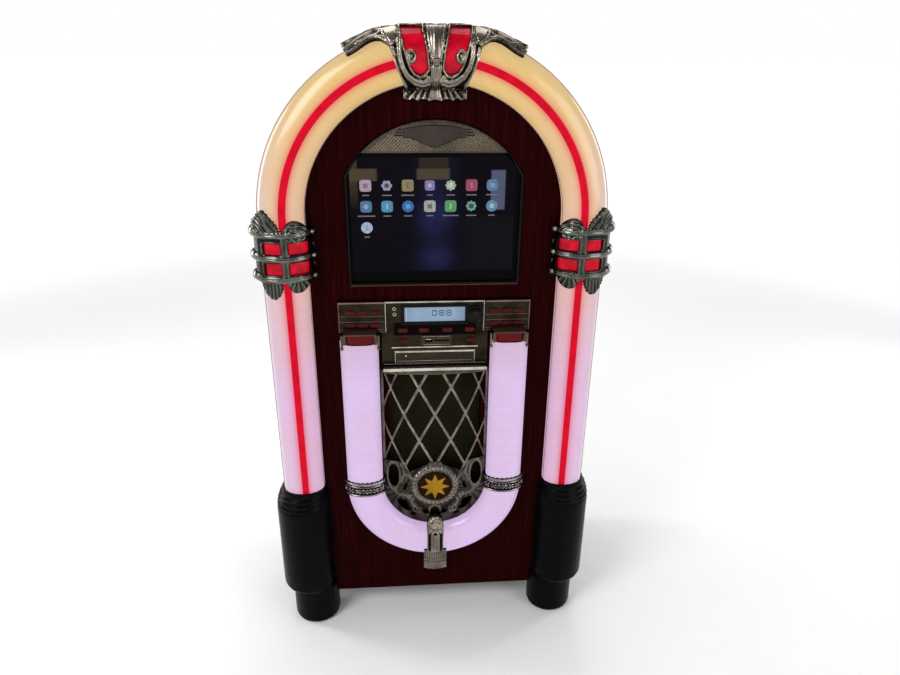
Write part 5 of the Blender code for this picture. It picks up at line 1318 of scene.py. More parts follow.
@dataclass
class Clamps:
    """Cast bands over the joints of the arch: bars, four red windows, knuckles and leaf lobes."""

    skin: TubeSkin = TubeSkin(0.03505, 0.008, 0.03)
    cell: float = 0.0009
    lens_cell: float = 0.0012
    low: float = 0.698
    high: float = 0.78
    reach: Pair = (0.6705, 0.815)
    lens_reach: Pair = (0.705, 0.766)
    bars: tuple[float, ...] = (0.7738, 0.7365, 0.7037)
    bar_half: float = 0.006
    post_half: float = 0.0048
    post_middle: float = 0.739
    middle: float = -0.0049
    under: float = 0.004
    base: float = 0.0076
    relief: float = 0.0042
    lens_base: float = 0.0052
    lens_under: float = 0.0026
    lens_lap: float = 0.0012
    window_spans: Pairs = ((0.0114, 0.0112), (-0.0216, 0.0116))
    window_rows: Pairs = ((0.7522, 0.0092), (0.7206, 0.0096))
    tip: Pairs = ((0.0, 0.776), (0.002, 0.786), (0.0065, 0.794), (0.012, 0.8), (0.017, 0.807), (0.0215, 0.8115),
                  (0.0262, 0.808), (0.03, 0.8005), (0.0345, 0.793), (0.038, 0.776))
    spine: Pairs = ((0.012, 0.778), (0.018, 0.795), (0.0215, 0.8095))
    drop: Pairs = ((-0.0005, 0.702), (0.001, 0.688), (0.006, 0.6765), (0.012, 0.6712), (0.0185, 0.6725),
                   (0.024, 0.68), (0.0275, 0.689), (0.029, 0.702))
    round_middle: Pair = (-0.019, 0.7765)
    bud_middle: Pair = (-0.019, 0.7)

    def windows(self, c: Grid, z: Grid) -> Grid:
        """Signed distance to the four window openings."""
        return np.minimum.reduce([slab(c, z, (centre, level), (width, half), 0.002)
                                  for level, half in self.window_rows for centre, width in self.window_spans])

    def leaves(self, c: Grid, z: Grid) -> list[Grid]:
        """Signed distances to the tip, the round leaf, the drop and the bud, c growing outwards."""
        wave = 0.0007 * np.sin(z * TURN / 0.0052)
        return [patch(c, z, self.tip) + wave, oval(c, z, self.round_middle, (0.014, 0.018)),
                patch(c, z, self.drop) - wave * 0.6, oval(c, z, self.bud_middle, (0.0135, 0.019))]

    def band(self, z: Grid) -> Grid:
        """Signed distance to the band between the lobes."""
        return np.abs(z - (self.high + self.low) / 2) - (self.high - self.low) / 2

    def outline(self, s: Grid, z: Grid) -> Grid:
        """The casting's whole outline with its windows cut."""
        c = self.skin.flat(s)
        return np.maximum(np.minimum.reduce([self.band(z), *self.leaves(c, z)]), -self.windows(c, z))

    def height(self, s: Grid, z: Grid) -> Grid:
        """How far the carving stands above the tube."""
        c = self.skin.flat(s)
        tip, shell, drop, bud = self.leaves(c, z)
        marks = [pillow(self.band(z), 0.003, 0.0012), ridge(self.windows(c, z) - 0.0014, 0.0014, 0.0021)]
        marks += [ridge(z - level, self.bar_half, self.relief) - 0.0009 * ridge(z - level - 0.0008, 0.0011, 1.0)
                  for level in self.bars]
        aside = np.abs(c - self.middle)
        post = pillow(aside - self.post_half, 0.0022, 0.0034) - 0.0013 * ridge(aside, 0.0024, 1.0)
        marks.append(np.where(np.abs(z - self.post_middle) < 0.044, post, 0))
        foot = self.skin.length()
        for sign, reach, inset, width, lift in ((-1, 0.0072, 0.0055, 0.0088, 0.0),
                                                (1, 0.0056, 0.0095, 0.0125, 0.003)):
            for level in self.bars:
                knob = np.hypot((s - sign * (foot - inset)) / width, (z - level - lift) / (0.008 + lift * 0.4))
                marks.append(ridge(knob, 1.0, reach + self.relief * 0.6))
            for level, _ in self.window_rows[:1 - sign]:
                knob = np.hypot((s - sign * (foot - inset * 0.55)) / (width * 0.6), (z - level) / 0.0062)
                marks.append(ridge(knob, 1.0, reach * 0.55 + 0.0012))
        feather = 0.0011 * ripple(c * 0.94 - (z - 0.776) * 0.62, 0.005)
        marks.append(leaf(tip, 0.0022, 0.0022, feather, 0.002))
        marks.append(np.where(tip < 0.001, ridge(tip + 0.0015, 0.0015, 0.0012) + 0.0016, 0))
        marks.append(np.where(tip < 0, cord(c, z, self.spine, 0.0022, 0.0024) + 0.0014, 0))
        aside = c - self.round_middle[0]
        rings = 0.0009 * ripple(np.hypot(aside, z - 0.77), 0.0058)
        petals = 0.0008 * np.cos(np.arctan2(aside, z - 0.764) * 9.0)
        marks.append(leaf(shell, 0.003, 0.0032, rings + petals, 0.0015))
        marks.append(leaf(drop, 0.003, 0.0026, 0.001 * ripple(c, 0.0046), 0.0018))
        veins = 0.0012 * np.cos(np.arctan2(aside, 0.712 - z) * 22.0)
        marks.append(leaf(bud, 0.003, 0.0028, veins, 0.0015))
        return self.base + np.maximum.reduce(marks)

    def opening(self, s: Grid, z: Grid) -> Grid:
        """Signed distance to the windows, a little larger than their openings."""
        return self.windows(self.skin.flat(s), z) - self.lens_lap

    def glass(self, s: Grid, z: Grid) -> Grid:
        """Height of the red windows, crowned between their edges."""
        return self.lens_base + pillow(self.opening(s, z), 0.0045, 0.0014)

    def build(self) -> None:
        """Builds both clamps and their red windows."""
        foot = self.skin.length() - 0.0004
        for sign, label in SIDES:
            def laid(height: Field) -> Layout:
                """How a grid of the casting lies on this side's column."""
                return self.skin.on_leg(sign, TUBE_PATH_RADIUS, height)

            casting = Relief((-foot, foot), self.reach, self.cell, self.outline, laid(self.height),
                             laid(lambda s, z: self.under), self.height).build(f"{label}_clamp_casting")
            dress(casting, CARVED_CHROME, "chromed_plastic", f"{label}_clamp")
            lens = Relief((-foot, foot), self.lens_reach, self.lens_cell, self.opening, laid(self.glass),
                          laid(lambda s, z: self.lens_under), self.glass).build(f"{label}_clamp_windows")
            dress(lens, CARVED_RED, "red_plastic", f"{label}_clamp_lens")


@dataclass
class Crown:
    """The cast crown over the top of the arch: column, two red windows, scrolls, fan and leaf wings."""

    skin: TubeSkin = TubeSkin(0.03505, 0.008, 0.03, 0.036, 0.009)
    cell: float = 0.00095
    lens_cell: float = 0.0012
    spread: float = 0.114
    lens_spread: float = 0.055
    under: float = 0.004
    base: float = 0.0096
    top: float = 0.0143
    brow: float = 1.063
    lens_base: float = 0.0072
    lens_under: float = 0.003
    lens_lap: float = 0.0014
    body: Pairs = (
        (0.0, 1.095), (0.08, 1.095), (0.0765, 1.05), (0.063, 1.033), (0.0545, 1.009), (0.0465, 0.9935),
        (0.044, 0.9875), (0.0445, 0.959), (0.0375, 0.957), (0.031, 0.9595), (0.0235, 0.9562), (0.016, 0.9588),
        (0.008, 0.956), (0.0, 0.958),
    )
    wing: Pairs = (
        (0.055, 1.095), (0.055, 1.04), (0.064, 1.0345), (0.075, 1.04), (0.082, 1.04), (0.09, 1.0375),
        (0.0965, 1.034), (0.103, 1.03), (0.1085, 1.0265), (0.114, 1.0235), (0.12, 1.0205), (0.125, 1.0205),
        (0.1275, 1.024), (0.1262, 1.03), (0.118, 1.042), (0.104, 1.056), (0.07, 1.08),
    )
    window: Pairs = (
        (0.0203, 1.0564), (0.0484, 1.055), (0.043, 1.035), (0.0385, 1.02), (0.035, 1.012), (0.03, 1.0065),
        (0.0235, 1.004), (0.0165, 1.0052), (0.012, 1.0105), (0.0135, 1.027),
    )
    volute: Pair = (0.0345, 1.0235)
    stem: Pairs = ((0.049, 1.044), (0.0505, 1.034), (0.05, 1.022), (0.0465, 1.011), (0.04, 1.002), (0.03, 0.9965),
                   (0.019, 0.995), (0.009, 0.9975))
    outer_stem: Pairs = ((0.0585, 1.031), (0.0575, 1.02), (0.0545, 1.01), (0.05, 1.0), (0.0435, 0.9915))
    corner: Pairs = ((0.0515, 1.095), (0.0515, 1.045), (0.056, 1.0365), (0.0625, 1.0345), (0.0752, 1.05),
                     (0.078, 1.095))
    lane: Pairs = ((0.064, 1.049), (0.085, 1.047), (0.105, 1.036), (0.124, 1.024))
    column: tuple[tuple[float, ...], tuple[float, ...]] = ((0.965, 0.99, 1.003, 1.025, 1.065),
                                                           (0.0062, 0.0066, 0.008, 0.0098, 0.0172))
    beads: tuple[tuple[Pair, float, float], ...] = (
        ((0.0345, 1.0235), 0.0026, 0.0047), ((0.0, 1.0), 0.0056, 0.0044), ((0.011, 1.0005), 0.0042, 0.0044),
        ((0.0, 0.9905), 0.0046, 0.0044), ((0.0135, 0.989), 0.004, 0.0044), ((0.026, 0.9885), 0.004, 0.0044),
        ((0.1235, 1.024), 0.0036, 0.004), ((0.064, 1.056), 0.006, 0.0044),
    )

    def seen(self, run: Grid, s: Grid) -> tuple[Grid, Grid]:
        """Distance from the middle and height of the grid's points as the front shows them."""
        radius = TUBE_PATH_RADIUS - self.skin.flat(s)
        turn = run / TUBE_PATH_RADIUS
        return np.abs(radius * np.sin(turn)), ARCH_CENTRE + radius * np.cos(turn)

    def openings(self, a: Grid, z: Grid) -> Grid:
        """Signed distance to a window, less the scroll that bites into it."""
        return np.maximum(patch(a, z, self.window), -disc(a, z, self.volute, 0.0078))

    def outline(self, run: Grid, s: Grid) -> Grid:
        """The casting's whole outline with its windows cut."""
        a, z = self.seen(run, s)
        return np.maximum(np.minimum(patch(a, z, self.body), patch(a, z, self.wing)), -self.openings(a, z))

    def height(self, run: Grid, s: Grid) -> Grid:
        """How far the carving stands above the tube."""
        a, z = self.seen(run, s)
        half = np.interp(z, *self.column)
        column = pillow(a - half, 0.0032, 0.0036) - ridge(a - half * 0.62, 0.0011, 0.0011)
        panel = pillow(slab(a, z, (0.0, 1.04), (0.0036, 0.017), 0.001), 0.0012, 0.0011)
        waist = ridge(z - 1.0215, 0.0009, 0.0012) - ridge(z - 1.0165, 0.003, 0.002)
        marks = [np.where(a < half, column + panel + waist, 0)]
        marks.append(ridge(self.openings(a, z) - 0.0018, 0.002, 0.0042))
        for points, width, rise in ((self.stem, 0.0044, 0.0047), (self.outer_stem, 0.0032, 0.0036)):
            marks.append(cord(a, z, points, width, rise, width * 0.24, 0.0011))
        marks.append(cord(a, z, spiral(self.volute, 0.0074, 1.35, 15, 1), 0.0019, 0.0046))
        marks += [ridge(disc(a, z, centre, 0.0), radius, rise) for centre, radius, rise in self.beads]
        ribs = 0.0016 + 0.0013 * ripple(np.arctan2(a, 1.015 - z), 0.135)
        marks.append(np.where((z < 0.987) & (a < 0.0435), ribs, 0))
        tongue = pillow(slab(a, z, (0.0, 0.972), (0.0082, 0.0145), 0.003), 0.003, 0.0036)
        marks.append(np.where(z < 0.987, tongue - 0.001 * ridge(a - 0.0042, 0.0012, 1.0), 0))
        corner = patch(a, z, self.corner)
        marks += [pillow(corner + 0.0012, 0.0015, 0.0031), ridge(corner, 0.0013, 0.0036)]
        wing, outside = patch(a, z, self.wing), smooth(a, 0.06, 0.068)
        along, over = a * 0.92 - (z - 1.03) * 0.39, a * 0.39 + (z - 1.03) * 0.92
        waves = over * TURN / 0.0044 + 0.7 * np.sin(along * TURN / 0.021)
        feather = 0.0009 * np.cos(waves) * smooth(1.063 - z, 0.0, 0.008)
        marks.append(outside * np.where(wing < 0, 0.0017 + feather * smooth(-wing, 0, 0.0025), 0))
        marks.append(outside * ridge(wing + 0.0015, 0.0016, 0.0026))
        marks.append(outside * cord(a, z, self.lane, 0.0022, 0.0034))
        marks.append((1 - outside) * ridge(patch(a, z, self.body) + 0.0014, 0.0015, 0.0022))
        return np.minimum(self.base + np.maximum.reduce(marks), self.top)

    def laid(self, height: Field) -> Layout:
        """How a grid of the casting lies on the arch."""
        def spots(run: Grid, s: Grid) -> Spots:
            """Places of the grid's points."""
            across, reach = self.skin.lay(s, height(run, s))
            radius, turn = TUBE_PATH_RADIUS - across, run / TUBE_PATH_RADIUS
            rise = ARCH_CENTRE + radius * np.cos(turn)
            rise = np.where(rise > self.brow, self.brow + (rise - self.brow) * 0.5, rise)
            return radius * np.sin(turn), FACE - np.maximum(reach, 0.0004), rise
        return spots

    def opening(self, run: Grid, s: Grid) -> Grid:
        """Signed distance to the windows, a little larger than their openings."""
        return self.openings(*self.seen(run, s)) - self.lens_lap

    def glass(self, run: Grid, s: Grid) -> Grid:
        """Height of the red windows, lower near the brow."""
        _, z = self.seen(run, s)
        return self.lens_base - 0.0016 * smooth(z, 1.044, 1.054) + pillow(self.opening(run, s), 0.006, 0.0012)

    def build(self) -> None:
        """Builds the crown and its red windows."""
        foot = self.skin.length()
        casting = Relief(
            (-self.spread, self.spread), (-foot + 0.0006, foot + 0.0335), self.cell, self.outline,
            self.laid(self.height), self.laid(lambda run, s: self.under * smooth(foot + 0.004 - s, 0.0, 0.006)),
            self.height,
        ).build("crown_casting")
        dress(casting, CROWN_METAL, "chromed_plastic", "crown")
        lens = Relief((-self.lens_spread, self.lens_spread), (-foot + 0.001, 0.04), self.lens_cell, self.opening,
                      self.laid(self.glass), self.laid(lambda run, s: self.lens_under),
                      self.glass).build("crown_windows")
        dress(lens, CARVED_RED, "red_plastic", "crown_lens")


@dataclass
class Window:
    """Arched frame with the embossed header, its bare shield, and the touch screen's picture."""

    header: float = -0.003
    diamond_pitch: float = 0.0052
    shield_half: float = 0.046
    shield_low: float = 0.911
    shield_top: float = 0.9275
    tip: float = 0.8965
    glass: float = -0.004
    sunk: float = 0.0001
    columns: tuple[float, ...] = (-0.1056, -0.0733, -0.0411, -0.0073, 0.025, 0.0572, 0.0895)
    rows: tuple[float, ...] = (0.8392, 0.807, 0.7738)
    icon_half: float = 0.009
    label_drop: float = 0.0148
    label_half: float = 0.0009
    label_tone: Tone = (122, 122, 132)
    arc_centre: float = 0.7824
    arc_sheet: float = 0.1534
    arc_lip: float = 0.15365
    arc_inside: float = 0.149
    shoulder: float = 0.8802
    shoulder_top: float = 0.8885
    lines: tuple[Point, ...] = ((0.9222, 0.048, 0.0545), (0.918, 0.048, 0.058), (0.9138, 0.048, 0.06))
    kinds: tuple[tuple[int, int, Tone, Tone, float], ...] = (
        (5, 0, (196, 172, 190), (150, 120, 150), 0.01), (2, 6, (172, 170, 206), (60, 58, 84), 0.015),
        (6, 0, (158, 140, 98), (120, 104, 70), 0.02), (5, 0, (150, 132, 196), (210, 200, 226), 0.009),
        (2, 8, (176, 204, 170), (232, 236, 220), 0.013), (6, 0, (176, 58, 100), (214, 120, 150), 0.016),
        (3, 0, (92, 132, 178), (132, 168, 204), 0.019), (4, 0, (70, 128, 182), (150, 186, 214), 0.027),
        (4, 0, (68, 160, 206), (170, 220, 236), 0.012), (2, 0, (36, 112, 196), (90, 180, 236), 0.013),
        (6, 0, (188, 190, 176), (112, 116, 138), 0.011), (5, 0, (84, 176, 96), (178, 226, 170), 0.025),
        (2, 8, (112, 176, 164), (40, 70, 74), 0.016), (2, 0, (96, 150, 190), (186, 214, 228), 0.01),
        (2, 0, (190, 206, 236), (150, 168, 214), 0.008),
    )

    def opened(self, node: str, radius: float, width: float, finish: Finish, slot: str) -> None:
        """Dresses a copy of a node whose arc is drawn out to a wider radius.

        Args:
            node: the CAD node.
            radius: the arc's new radius.
            width: the bevel's width.
            finish: its finish.
            slot: the record's material slot.
        """
        piece = refined(node)
        for vertex in piece.data.vertices:
            spot = vertex.co
            rise = spot.z - self.arc_centre
            reach = math.hypot(spot.x, rise)
            if self.arc_inside < reach < self.arc_lip and spot.z > self.shoulder:
                if spot.z < self.shoulder_top:
                    spot.x = math.copysign(math.sqrt(radius ** 2 - rise ** 2), spot.x)
                else:
                    spot.x, spot.z = spot.x * radius / reach, self.arc_centre + rise * radius / reach
        soften(piece, width)
        dress(piece, finish, slot, node)

    def shield_edge(self) -> list[Pair]:
        """Outline of the shield: a bowed band over a downward point."""
        half = self.shield_half
        top = [(half * (1 - step / 8), self.shield_top - 0.0052 * (1 - step / 8) ** 2) for step in range(17)]
        return [(half, self.shield_low), *top, (-half, self.shield_low), (-half * 0.8, self.shield_low),
                (0.0, self.tip), (half * 0.8, self.shield_low)]

    def plate(self, name: str, outline: list[Pair], rise: float, finish: Finish) -> None:
        """Builds a flat plate of that outline on the header sheet."""
        rings = [[(x, front(reach), z) for x, z in outline] for reach in (self.header - self.sunk, self.header + rise)]
        solid(name, loft(rings), finish, "silver_sheet")

    def diamonds(self, edge: list[Pair]) -> list[tuple[Point, Point, float]]:
        """The embossed points of the header sheet that lie clear of its edge, the shield and the lines."""
        spots = []
        low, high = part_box("header_plate")
        pitch, margin = self.diamond_pitch, 0.0045
        for row in range(int((high.z - low.z) / pitch * 2)):
            z = low.z + 0.0034 + row * pitch / 2
            reach = math.sqrt(max(0.0, self.arc_sheet ** 2 - (z - self.arc_centre) ** 2))
            for column in range(-23, 24):
                x = (column + 0.5 * (row % 2)) * pitch
                if abs(x) > reach - margin or z > self.arc_centre + self.arc_sheet - margin:
                    continue
                if patch(np.array([[x]]), np.array([[z]]), edge)[0, 0] < 0.003:
                    continue
                if abs(x) < 0.06 and self.shield_low + 0.001 < z < self.shield_top - 0.001:
                    continue
                spots.append(((x, front(self.header + 0.0002), z), (0.0, -1.0, 0.0), 1.0))
        return spots

    def build_header(self) -> None:
        """Builds the embossed sheet, the shield, its edge and the speed lines."""
        self.opened("header_plate", self.arc_sheet, 0.0002, HEADER_SHEET, "silver_sheet")
        edge = self.shield_edge()
        studs = STUDS.grow("header_diamonds", spots_mesh("header_diamonds", self.diamonds(edge)), HEADER_SHEET,
                           Sides=4, Low_Radius=0.00245, Top_Radius=0.0005, Depth=0.0008)
        dress(studs, HEADER_SHEET, "silver_sheet")
        grown = []
        for index, (x, z) in enumerate(edge):
            before, after = edge[index - 1], edge[(index + 1) % len(edge)]
            way = math.atan2(after[1] - before[1], after[0] - before[0])
            grown.append((x + 0.0011 * math.sin(way), z - 0.0011 * math.cos(way)))
        self.plate("shield_edge", grown, 0.0007, SHIELD_EDGE)
        self.plate("shield_plate", edge, 0.0011, SHIELD)
        lines = [(*sorted((side * begin, side * end)), self.header - self.sunk, self.header + 0.0008,
                  level - self.label_half, level + self.label_half)
                 for side in (-1, 1) for level, begin, end in self.lines]
        bars("shield_lines", lines, SHIELD_EDGE, "silver_sheet", 0.0002)

    def marks(self) -> list[tuple[list[Pair], float, Colour]]:
        """Outline, height and tint of every mark on the screen."""
        found = []
        for index, (power, teeth, tone, inner, width) in enumerate(self.kinds):
            x, z = self.columns[index % 7], self.rows[index // 7]
            size = self.icon_half * (0.86 if index == 3 else 0.95 if teeth else 1.0)
            found.append((blob((x, z), size, power, teeth), 0.0003, shade(*tone)))
            glyph = blob((x, z), size * 0.42, 2.0 if index % 2 else 4.0, 0, 16)
            if index % 3 == 2:
                glyph = corners(x - size * 0.16, x + size * 0.16, z - size * 0.5, z + size * 0.5)
            found.append((glyph, 0.0005, shade(*inner)))
            level = z - self.label_drop
            label = corners(x - width / 2, x + width / 2, level - self.label_half, level + self.label_half)
            found.append((label, 0.0003, shade(*self.label_tone)))
        return found

    def build_marks(self) -> None:
        """Builds the icons and the plain dashes under them."""
        marks = self.marks()
        mesh = bpy.data.meshes.new("screen_marks")
        points, faces = joined(loft([[(x, front(self.glass + reach), z) for x, z in outline]
                                     for reach in (-self.sunk, rise)]) for outline, rise, _ in marks)
        mesh.from_pydata(points, [], faces)
        tints = [part for outline, _, tint in marks for part in tint * (2 * len(outline))]
        mesh.attributes.new("tint", "FLOAT_COLOR", "POINT").data.foreach_set("color", tints)
        outward(mesh)
        dress(place("screen_marks", mesh), ICON_TINT, "screen_glass")

    def build(self) -> None:
        """Builds the frame, the header and the screen."""
        self.opened("window_frame", self.arc_lip, 0.0003, TRIM_BLACK, "frame_black")
        low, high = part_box("window_frame")
        bars("window_lip", [(low.x + 0.002, high.x - 0.002, -0.0002, 0.003, low.z - 0.0009, low.z + 0.0006)],
             BRONZE, "frame_black")
        self.build_header()
        cover("touch_screen", 0.0002, SCREEN, "screen_glass")
        self.build_marks()


@dataclass
class Fascia:
    """Control fascia with its light lines, lenses, keys, ribbed knob, ports and display."""

    edge: float = 0.0004
    plate: float = 0.0083
    sunk: float = 0.0002
    half: float = 0.158
    slim: float = 0.088
    top: float = 0.655
    wing_low: float = 0.601
    low: float = 0.5345
    divider: float = 0.08
    line: float = 0.0007
    rise: float = 0.0009
    key_rows: Pair = (0.636, 0.614)
    lcd: Point = (0.0505, 0.618, 0.648)
    lcd_reach: float = 0.0063
    digits: str = "088"
    digit: Pair = (0.007, 0.0086)
    digit_at: Pair = (-0.004, 0.6285)
    digit_pitch: float = 0.0118
    stroke: float = 0.00075
    knob: Pair = (0.066, 0.631)
    knob_radius: float = 0.0145
    knob_ribs: int = 28
    knob_profile: tuple[Point, ...] = (
        (0.94, 0.0088, 0.0), (1.0, 0.0096, 0.0), (1.0, 0.0112, 0.0), (0.86, 0.0118, 0.4), (0.83, 0.013, 1.0),
        (0.81, 0.0215, 1.0), (0.78, 0.023, 0.8), (0.73, 0.0236, 0.2), (0.6, 0.0236, 0.0), (0.54, 0.0229, 0.0),
        (0.05, 0.0226, 0.0),
    )
    head_centre: float = 0.123
    head_reach: float = 0.0275
    head_half: float = 0.029
    head_from: tuple[float, ...] = (0.577, 0.5797, 0.5987, 0.6012, 0.602)
    head_to: tuple[float, ...] = (0.5858, 0.5866, 0.6018, 0.603, 0.6042)
    head_lens: tuple[float, ...] = (0.5858, 0.5868, 0.6016, 0.603, 0.6042)
    cap_half: float = 0.0268
    post_offset: float = 0.03
    sockets: Pair = (0.642, 0.6325)
    socket_profile: Pairs = ((0.0019, 0.0078), (0.0031, 0.0078), (0.0031, 0.009), (0.0027, 0.0094), (0.0019, 0.0092))
    port_marks: tuple[tuple[float, ...], ...] = (
        (-0.0152, -0.006, 0.001, 0.008, 0.5855, 0.5871), (-0.02, 0.025, 0.01, 0.0108, 0.5922, 0.5928),
        (-0.02, 0.025, 0.01, 0.0108, 0.5778, 0.5784),
    )

    def lines(self) -> list[tuple[float, ...]]:
        """The bright lines on the plate."""
        low, high, line = self.plate - self.sunk, self.plate + self.rise, self.line
        found = [(-self.divider, self.divider, low, high + 0.0003, self.top - 0.0028, self.top - 0.0002),
                 (-0.072, 0.072, low, high + 0.0002, 0.5718, 0.5744)]
        for side in (-1, 1):
            centre = side * (self.divider + line + 0.0002)
            found.append((centre - line, centre + line, low, high, self.wing_low + 0.0005, self.top - 0.0002))
        return found

    def wing_lines(self) -> list[tuple[float, ...]]:
        """The dimmer lines that frame the two wings and their rows of keys."""
        low, high = self.plate - self.sunk, self.plate + self.rise
        half, line = self.half - 0.0012, self.line
        found = []
        for side in (-1, 1):
            inner, centre = side * (self.divider + 0.0026), side * (half - line)
            found.append((*sorted((inner, side * half)), low, high + 0.0003, self.top - 0.0036, self.top - 0.0006))
            found.append((centre - line, centre + line, low, high, self.wing_low + 0.0005, self.top - 0.0038))
            for level in (self.key_rows[0] - 0.006, self.key_rows[1] + 0.0063, self.key_rows[1] - 0.0078,
                          self.wing_low + 0.0014):
                found.append((*sorted((inner, side * (half - 0.002))), low, high, level - line * 0.8,
                              level + line * 0.8))
        return found

    def bezel(self) -> list[tuple[float, ...]]:
        """The black surround of the display."""
        half, bottom, top = self.lcd
        low, high = self.plate - self.sunk, self.plate + 0.0011
        wide, slim, under = half + 0.0048, half + 0.0003, top - 0.0041
        return [(-wide, wide, low, high, top - 0.004, top + 0.0006),
                (-wide, wide, low, high, bottom - 0.005, bottom - 0.0003),
                (-wide, -slim, low, high, bottom - 0.0002, under), (slim, wide, low, high, bottom - 0.0002, under)]

    def segments(self) -> list[tuple[float, ...]]:
        """The dark segments of the digits on the display."""
        lit = {"0": "abcdef", "8": "abcdefg"}
        (width, height), thin = self.digit, self.stroke
        found = []
        for index, digit in enumerate(self.digits):
            x, z = self.digit_at[0] + index * self.digit_pitch, self.digit_at[1]
            end, middle, top = x + width, z + height / 2, z + height
            spans = {
                "a": (x + thin, end - thin, top - thin, top + thin), "d": (x + thin, end - thin, z - thin, z + thin),
                "g": (x + thin, end - thin, middle - thin, middle + thin),
                "f": (x - thin, x + thin * 0.9, middle + thin, top - thin),
                "e": (x - thin, x + thin * 0.9, z + thin, middle - thin),
                "b": (end - thin * 0.9, end + thin, middle + thin, top - thin),
                "c": (end - thin * 0.9, end + thin, z + thin, middle - thin),
            }
            for left, right, bottom, high in (spans[segment] for segment in lit[digit]):
                found.append((left, right, self.lcd_reach - 0.0001, self.lcd_reach + 0.0002, bottom + 0.00005,
                              high - 0.00005))
        return found

    def lifted(self, node: str, finish: Finish, slot: str, lens: bool = False) -> None:
        """Dresses a copy of a node whose two tube heads are flatter and sit a little higher.

        Args:
            node: the fascia, or one of the two lenses.
            finish: its finish.
            slot: the record's material slot.
            lens: whether it is a lens.
        """
        piece = refined(node)
        for vertex in piece.data.vertices:
            spot = vertex.co
            beside = abs(abs(spot.x) - self.head_centre)
            if spot.y < front(0.0084) and beside < self.head_half and spot.z < 0.603:
                spot.z = float(np.interp(spot.z, self.head_from, self.head_lens if lens else self.head_to))
                spot.y = max(spot.y, front(self.head_reach - (0.0016 if lens else 0.0)))
        soften(piece, self.edge)
        dress(piece, finish, slot, node)

    def build_heads(self) -> None:
        """Builds the caps, rims and posts of the two tube heads."""
        caps, rims, posts = [], [], []
        for side in (-1, 1):
            centre = side * self.head_centre
            ends = centre - self.cap_half, centre + self.cap_half
            caps.append((*ends, 0.0086, 0.0268, 0.604, 0.6047))
            rims.append((*ends, 0.0262, 0.0279, 0.6028, 0.6049))
            for offset in (-0.0255, 0.0255):
                rims.append((centre + offset - 0.0027, centre + offset + 0.0027, 0.0255, 0.0279, 0.5872, 0.6027))
            for x in (centre - self.post_offset, centre + self.post_offset):
                for half, *rest in ((0.0017, 0.0085, 0.0205, 0.579, 0.6004), (0.0006, 0.02, 0.0214, 0.58, 0.5994),
                                    (0.0023, 0.008, 0.0222, 0.5752, 0.5792)):
                    posts.append((x - half, x + half, *rest))
        bars("head_caps", caps, HEAD_CAP, chamfer=0.0002)
        bars("head_rims", rims, HEAD_RIM, chamfer=0.0002)
        bars("head_posts", posts, WING_LINE, chamfer=0.0007)

    def build_knob(self) -> None:
        """Builds the knob with ribs round its grip, a shallow dish in its face, and its index line."""
        steps = self.knob_ribs * 6
        rings = []
        for share, reach, depth in self.knob_profile:
            ring = []
            for angle in (TURN * step / steps for step in range(steps)):
                out = self.knob_radius * share * (1 - 0.035 * depth * (1 - math.cos(angle * self.knob_ribs)))
                ring.append((self.knob[0] + out * math.cos(angle), front(reach), self.knob[1] + out * math.sin(angle)))
            rings.append(ring)
        solid("volume_knob_grip", loft(rings), KNOB_BLACK, "knob_black", "volume_knob", body="volume_knob", sharp=30.0)
        bars("volume_index", [(self.knob[0] - 0.0005, self.knob[0] + 0.0005, 0.0224, 0.0238, self.knob[1] + 0.004,
                               self.knob[1] + 0.0096)], HEAD_RIM, "knob_black", 0.0002, "volume_knob")

    def build(self) -> None:
        """Builds the fascia and what it carries."""
        self.lifted("control_fascia", FASCIA_PLATE, "chromed_plastic")
        bars("fascia_lines", self.lines(), LINE_CHROME)
        bars("wing_lines", self.wing_lines(), WING_LINE)
        bars("fascia_ledge", [
            (-self.slim + 0.0016, self.slim - 0.0016, 0.017, 0.0234, self.low + 0.0006, self.low + 0.0066),
            (-self.slim + 0.003, self.slim - 0.003, 0.008, 0.01, self.low + 0.0074, self.low + 0.009),
        ], LEDGE, chamfer=0.0005)
        self.build_heads()
        bars("display_bezel", self.bezel(), TRIM_BLACK, "frame_black")
        bars("display_digits", self.segments(), INK, "display_board", 0.00005)
        for _, label in SIDES:
            self.lifted(f"{label}_head_lens", RED, "red_plastic", True)
        for name in sorted(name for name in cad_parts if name.startswith("key_")):
            cover(name, 0.0003, KEY_RED, "key_red", name)
        self.build_knob()
        cover("usb_port_plate", 0.0002, BRUSHED, "silver_sheet")
        bars("port_tongues", self.port_marks, LINE_CHROME, chamfer=0.0001)
        profile = [(radius, front(reach)) for radius, reach in self.socket_profile]
        for index, level in enumerate(self.sockets):
            solid(f"socket_ring_{index + 1}", turned(profile, (-self.knob[0], level), 32, True), LINE_CHROME,
                  "chromed_plastic")
        repaint("display_board", LCD)


